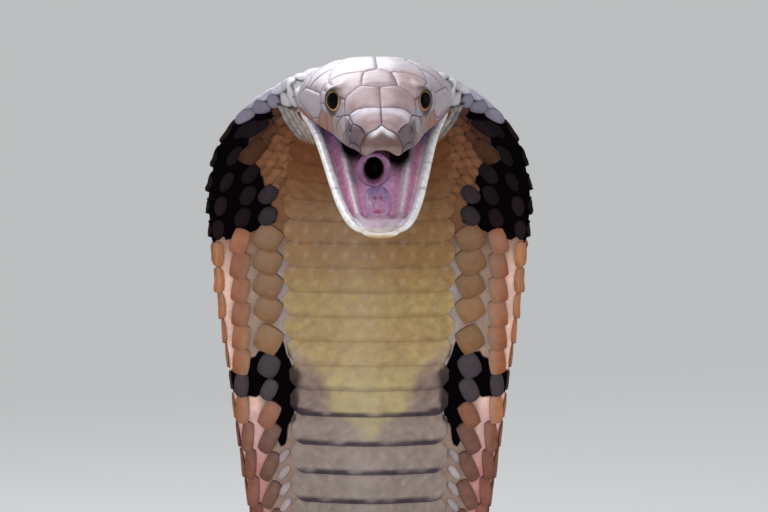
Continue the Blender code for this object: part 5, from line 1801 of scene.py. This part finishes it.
def build_eyes(material):
    for name, node, side in (("left_eyeball", "eye_left", -1), ("right_eyeball", "eye_right", 1)):
        centre, axis = eye_frame(side)
        middle = centre - axis * math.sqrt(EYE_BALL**2 - EYE_WINDOW**2)
        aside = np.cross(axis, (0.0, 0.0, 1.0))
        aside /= np.linalg.norm(aside)
        up = np.cross(aside, axis)
        mesh = painted_mesh()
        layer = mesh.verts.layers.float_color["colour"]
        bmesh.ops.create_uvsphere(mesh, u_segments=EYE_STEPS, v_segments=EYE_STEPS, radius=EYE_BALL)
        points = np.array([vert.co for vert in mesh.verts])
        colours = eye_colour(points[:, 0], points[:, 1], side)
        colours[points[:, 2] < 0] = BALL_BROWN
        places = from_head(middle + points @ np.array([aside, up, axis]))
        for vert, place, colour in zip(mesh.verts, places, colours):
            vert.co = place
            vert[layer] = (*colour, 1.0)
        piece = add_piece(name, close_skin(mesh, name), material)
        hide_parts(node)


build_eyes(eye_finish())


# The windpipe and the tongue's sheath
# The windpipe opens on the floor of the mouth as a soft wet ring, and the tongue lies drawn back in its
# sheath before it. Both are the same lining as the mouth.

PIPE_BACK, PIPE_FRONT = (0.0005, 0.0140, -0.0026), (0.0014, 0.0306, 0.0016)
PIPE_RADIUS, PIPE_TALL, PIPE_HOLE, PIPE_HOLE_TALL = 0.0060, 1.04, 0.0030, 1.42
PIPE_BORE, PIPE_LIP = 0.0045, 0.0016
PIPE_STRAIGHT, PIPE_FLARE = 0.9, 0.93  # share of its length before the lip, and of its radius at the lip
PIPE_LOWEST = -0.0036  # it ends in the floor of the mouth, no lower than this
PIPE_SIDES, LIP_STEPS = 72, 10
PIPE_LILAC, PIPE_FOOT = (0.24, 0.115, 0.24), (0.05, 0.018, 0.04)
# the bore darkens to black by painted shade
BORE_PINK, BORE_SHADOW = (0.30, 0.12, 0.22), (0.002, 0.0005, 0.001)
# Half width of the tongue's sheath, by distance before the corners of the mouth
SHEATH = (
    (0.0320, 0.0), (0.0332, 0.0028), (0.0365, 0.0040), (0.0405, 0.0043), (0.0440, 0.0038),
    (0.0466, 0.0022), (0.0475, 0.0),
)
SHEATH_HEIGHT, SHEATH_FOOT, SHEATH_ASIDE = 0.0026, -0.0040, 0.0003
SHEATH_COLUMNS, SHEATH_ROWS = 40, 40
SHEATH_VIOLET, SHEATH_PINK, NOTCH_RED = (0.42, 0.30, 0.56), (0.56, 0.30, 0.50), (0.42, 0.03, 0.09)


def pipe_profile(length):
    """Runs along the pipe, and shares of its radius and hole, from its root over the lip and back in."""
    lip = length * PIPE_STRAIGHT
    hole = PIPE_HOLE / PIPE_RADIUS
    middle, half = 0.5 * (PIPE_FLARE + hole), 0.5 * (PIPE_FLARE - hole)
    profile = [(length * share, 0.80 + 0.10 * share, 0.0) for share in np.linspace(0.0, PIPE_STRAIGHT, 12)]
    for turn in np.linspace(0.0, math.pi, LIP_STEPS):
        inward = 0.5 - 0.5 * math.cos(turn)
        profile.append((lip + PIPE_LIP * math.sin(turn), middle + half * math.cos(turn), inward))
    for share in np.linspace(0.1, 1.0, 8):
        profile.append((lip - PIPE_BORE * share, hole * (1 - 0.25 * share), 1.0))
    profile.append((lip - PIPE_BORE, 0.0, 1.0))
    return profile


def build_windpipe(material):
    back, front = np.array(PIPE_BACK), np.array(PIPE_FRONT)
    length = float(np.linalg.norm(front - back))
    way = (front - back) / length
    right = np.array([1.0, 0.0, 0.0])
    up = np.cross(right, way)
    angle = np.linspace(0.0, 2 * math.pi, PIPE_SIDES + 1)
    rows, tones = [], []
    for run, share, inward in pipe_profile(length):
        reach = PIPE_RADIUS * share
        tall = reach * (PIPE_TALL + (PIPE_HOLE_TALL - PIPE_TALL) * inward)
        row = back + way * run + np.outer(reach * np.cos(angle), right) + np.outer(tall * np.sin(angle), up)
        row[:, 2] = np.maximum(row[:, 2], PIPE_LOWEST)
        rows.append(row)
        depth = np.clip((length * PIPE_STRAIGHT - run) / 0.004, 0.0, 1.0)
        outside = mix(PIPE_LILAC, PIPE_FOOT, depth)
        # painted shade down the bore
        inside = mix(BORE_PINK, BORE_SHADOW, np.clip(depth * 3.0, 0.0, 1.0))
        tones.append([mix(outside, inside, smooth(inward * 1.2 - 0.1))])
    mesh = painted_mesh()
    add_sheet(mesh, from_head(from_jaw(np.array(rows))), np.array(tones))
    piece = add_piece("windpipe_ring", close_skin(mesh, "windpipe_ring"), material)
    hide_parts("windpipe")


def build_sheath(material):
    """A soft mound with a notch at its front, where the tongue comes out."""
    before = np.linspace(SHEATH[0][0], SHEATH[-1][0], SHEATH_ROWS + 1)[:, None]
    share = np.linspace(1.0, -1.0, SHEATH_COLUMNS + 1)[None, :]
    half = curve(SHEATH, before)
    across = half * np.sin(share * math.pi / 2)
    rise = SHEATH_HEIGHT * (half / 0.0042) ** 0.7 * np.cos(share * math.pi / 2) ** 0.8
    pits = bump(before, 0.0392, 0.0011) * bump(np.abs(across), 0.0009, 0.0005)
    mouth = bump(before, 0.0455, 0.0008) * bump(np.abs(across), 0.0, 0.0016)
    notch = np.maximum(pits, mouth)
    folds = 0.00014 * np.sin(across * 4200) * smooth((before - 0.040) / 0.003)
    before, across = np.broadcast_arrays(before, across)
    height = SHEATH_FOOT + rise - 0.0006 * notch + folds * (rise > 0.0004)
    colour = mix(SHEATH_VIOLET, SHEATH_PINK, smooth((before - 0.036) / 0.006))
    colour = mix(colour, NOTCH_RED, 0.85 * notch)
    mesh = painted_mesh()
    places = np.stack([across + SHEATH_ASIDE, before, height], axis=-1)
    add_sheet(mesh, from_head(from_jaw(places)), colour)
    piece = add_piece("tongue_sheath", close_skin(mesh, "tongue_sheath"), material)


build_windpipe(LINING)
build_sheath(LINING)


# The stage
# A plain pale floor that runs to the horizon, under soft studio light from above, before and behind.

FLOOR_RADIUS = 30.0


def build_floor():
    mesh = bmesh.new()
    bmesh.ops.create_circle(mesh, cap_ends=True, segments=96, radius=FLOOR_RADIUS)
    data = bpy.data.meshes.new("studio_floor")
    mesh.to_mesh(data)
    mesh.free()
    material = bpy.data.materials.new("studio_paper")
    material.use_nodes = True
    surface = material.node_tree.nodes["Principled BSDF"]
    surface.inputs["Base Color"].default_value = (0.50, 0.50, 0.49, 1.0)
    surface.inputs["Roughness"].default_value = 0.9
    data.materials.append(material)
    floor = bpy.data.objects.new("studio_floor", data)
    bpy.context.scene.collection.objects.link(floor)


def add_lamp(name, kind, place, aim, power, colour=(1.0, 1.0, 1.0)):
    light = bpy.data.lights.new(name, kind)
    light.energy = power
    light.color = colour
    lamp = bpy.data.objects.new(name, light)
    bpy.context.scene.collection.objects.link(lamp)
    lamp.location = place
    lamp.rotation_euler = (Vector(aim) - Vector(place)).to_track_quat("-Z", "Y").to_euler()
    return light


def add_panel(name, place, aim, size, power, colour=(1.0, 1.0, 1.0)):
    light = add_lamp(name, "AREA", place, aim, power, colour)
    light.shape = "RECTANGLE"
    light.size, light.size_y = size


def light_stage():
    bpy.context.scene.view_settings.view_transform = "Standard"
    hood = (-0.01, -0.06, 0.42)
    sky = add_lamp("sky_light", "SUN", (-0.40, 0.5, 2.4), hood, 2.0, (0.95, 0.975, 1.0))
    sky.angle = math.radians(50.0)
    add_panel("front_panel", (-0.35, -2.2, 0.62), hood, (1.1, 0.9), 15.0)
    add_panel("side_panel", (1.5, -0.5, 0.8), hood, (0.9, 1.2), 3.0)
    add_panel("back_panel", (-0.5, 1.2, 1.2), hood, (1.2, 0.7), 12.0, (0.92, 0.95, 1.0))
    world = bpy.data.worlds.new("studio_air")
    world.use_nodes = True
    world.node_tree.nodes["Background"].inputs["Color"].default_value = (0.94, 0.96, 1.0, 1.0)
    world.node_tree.nodes["Background"].inputs["Strength"].default_value = 0.42
    bpy.context.scene.world = world


build_floor()
light_stage()
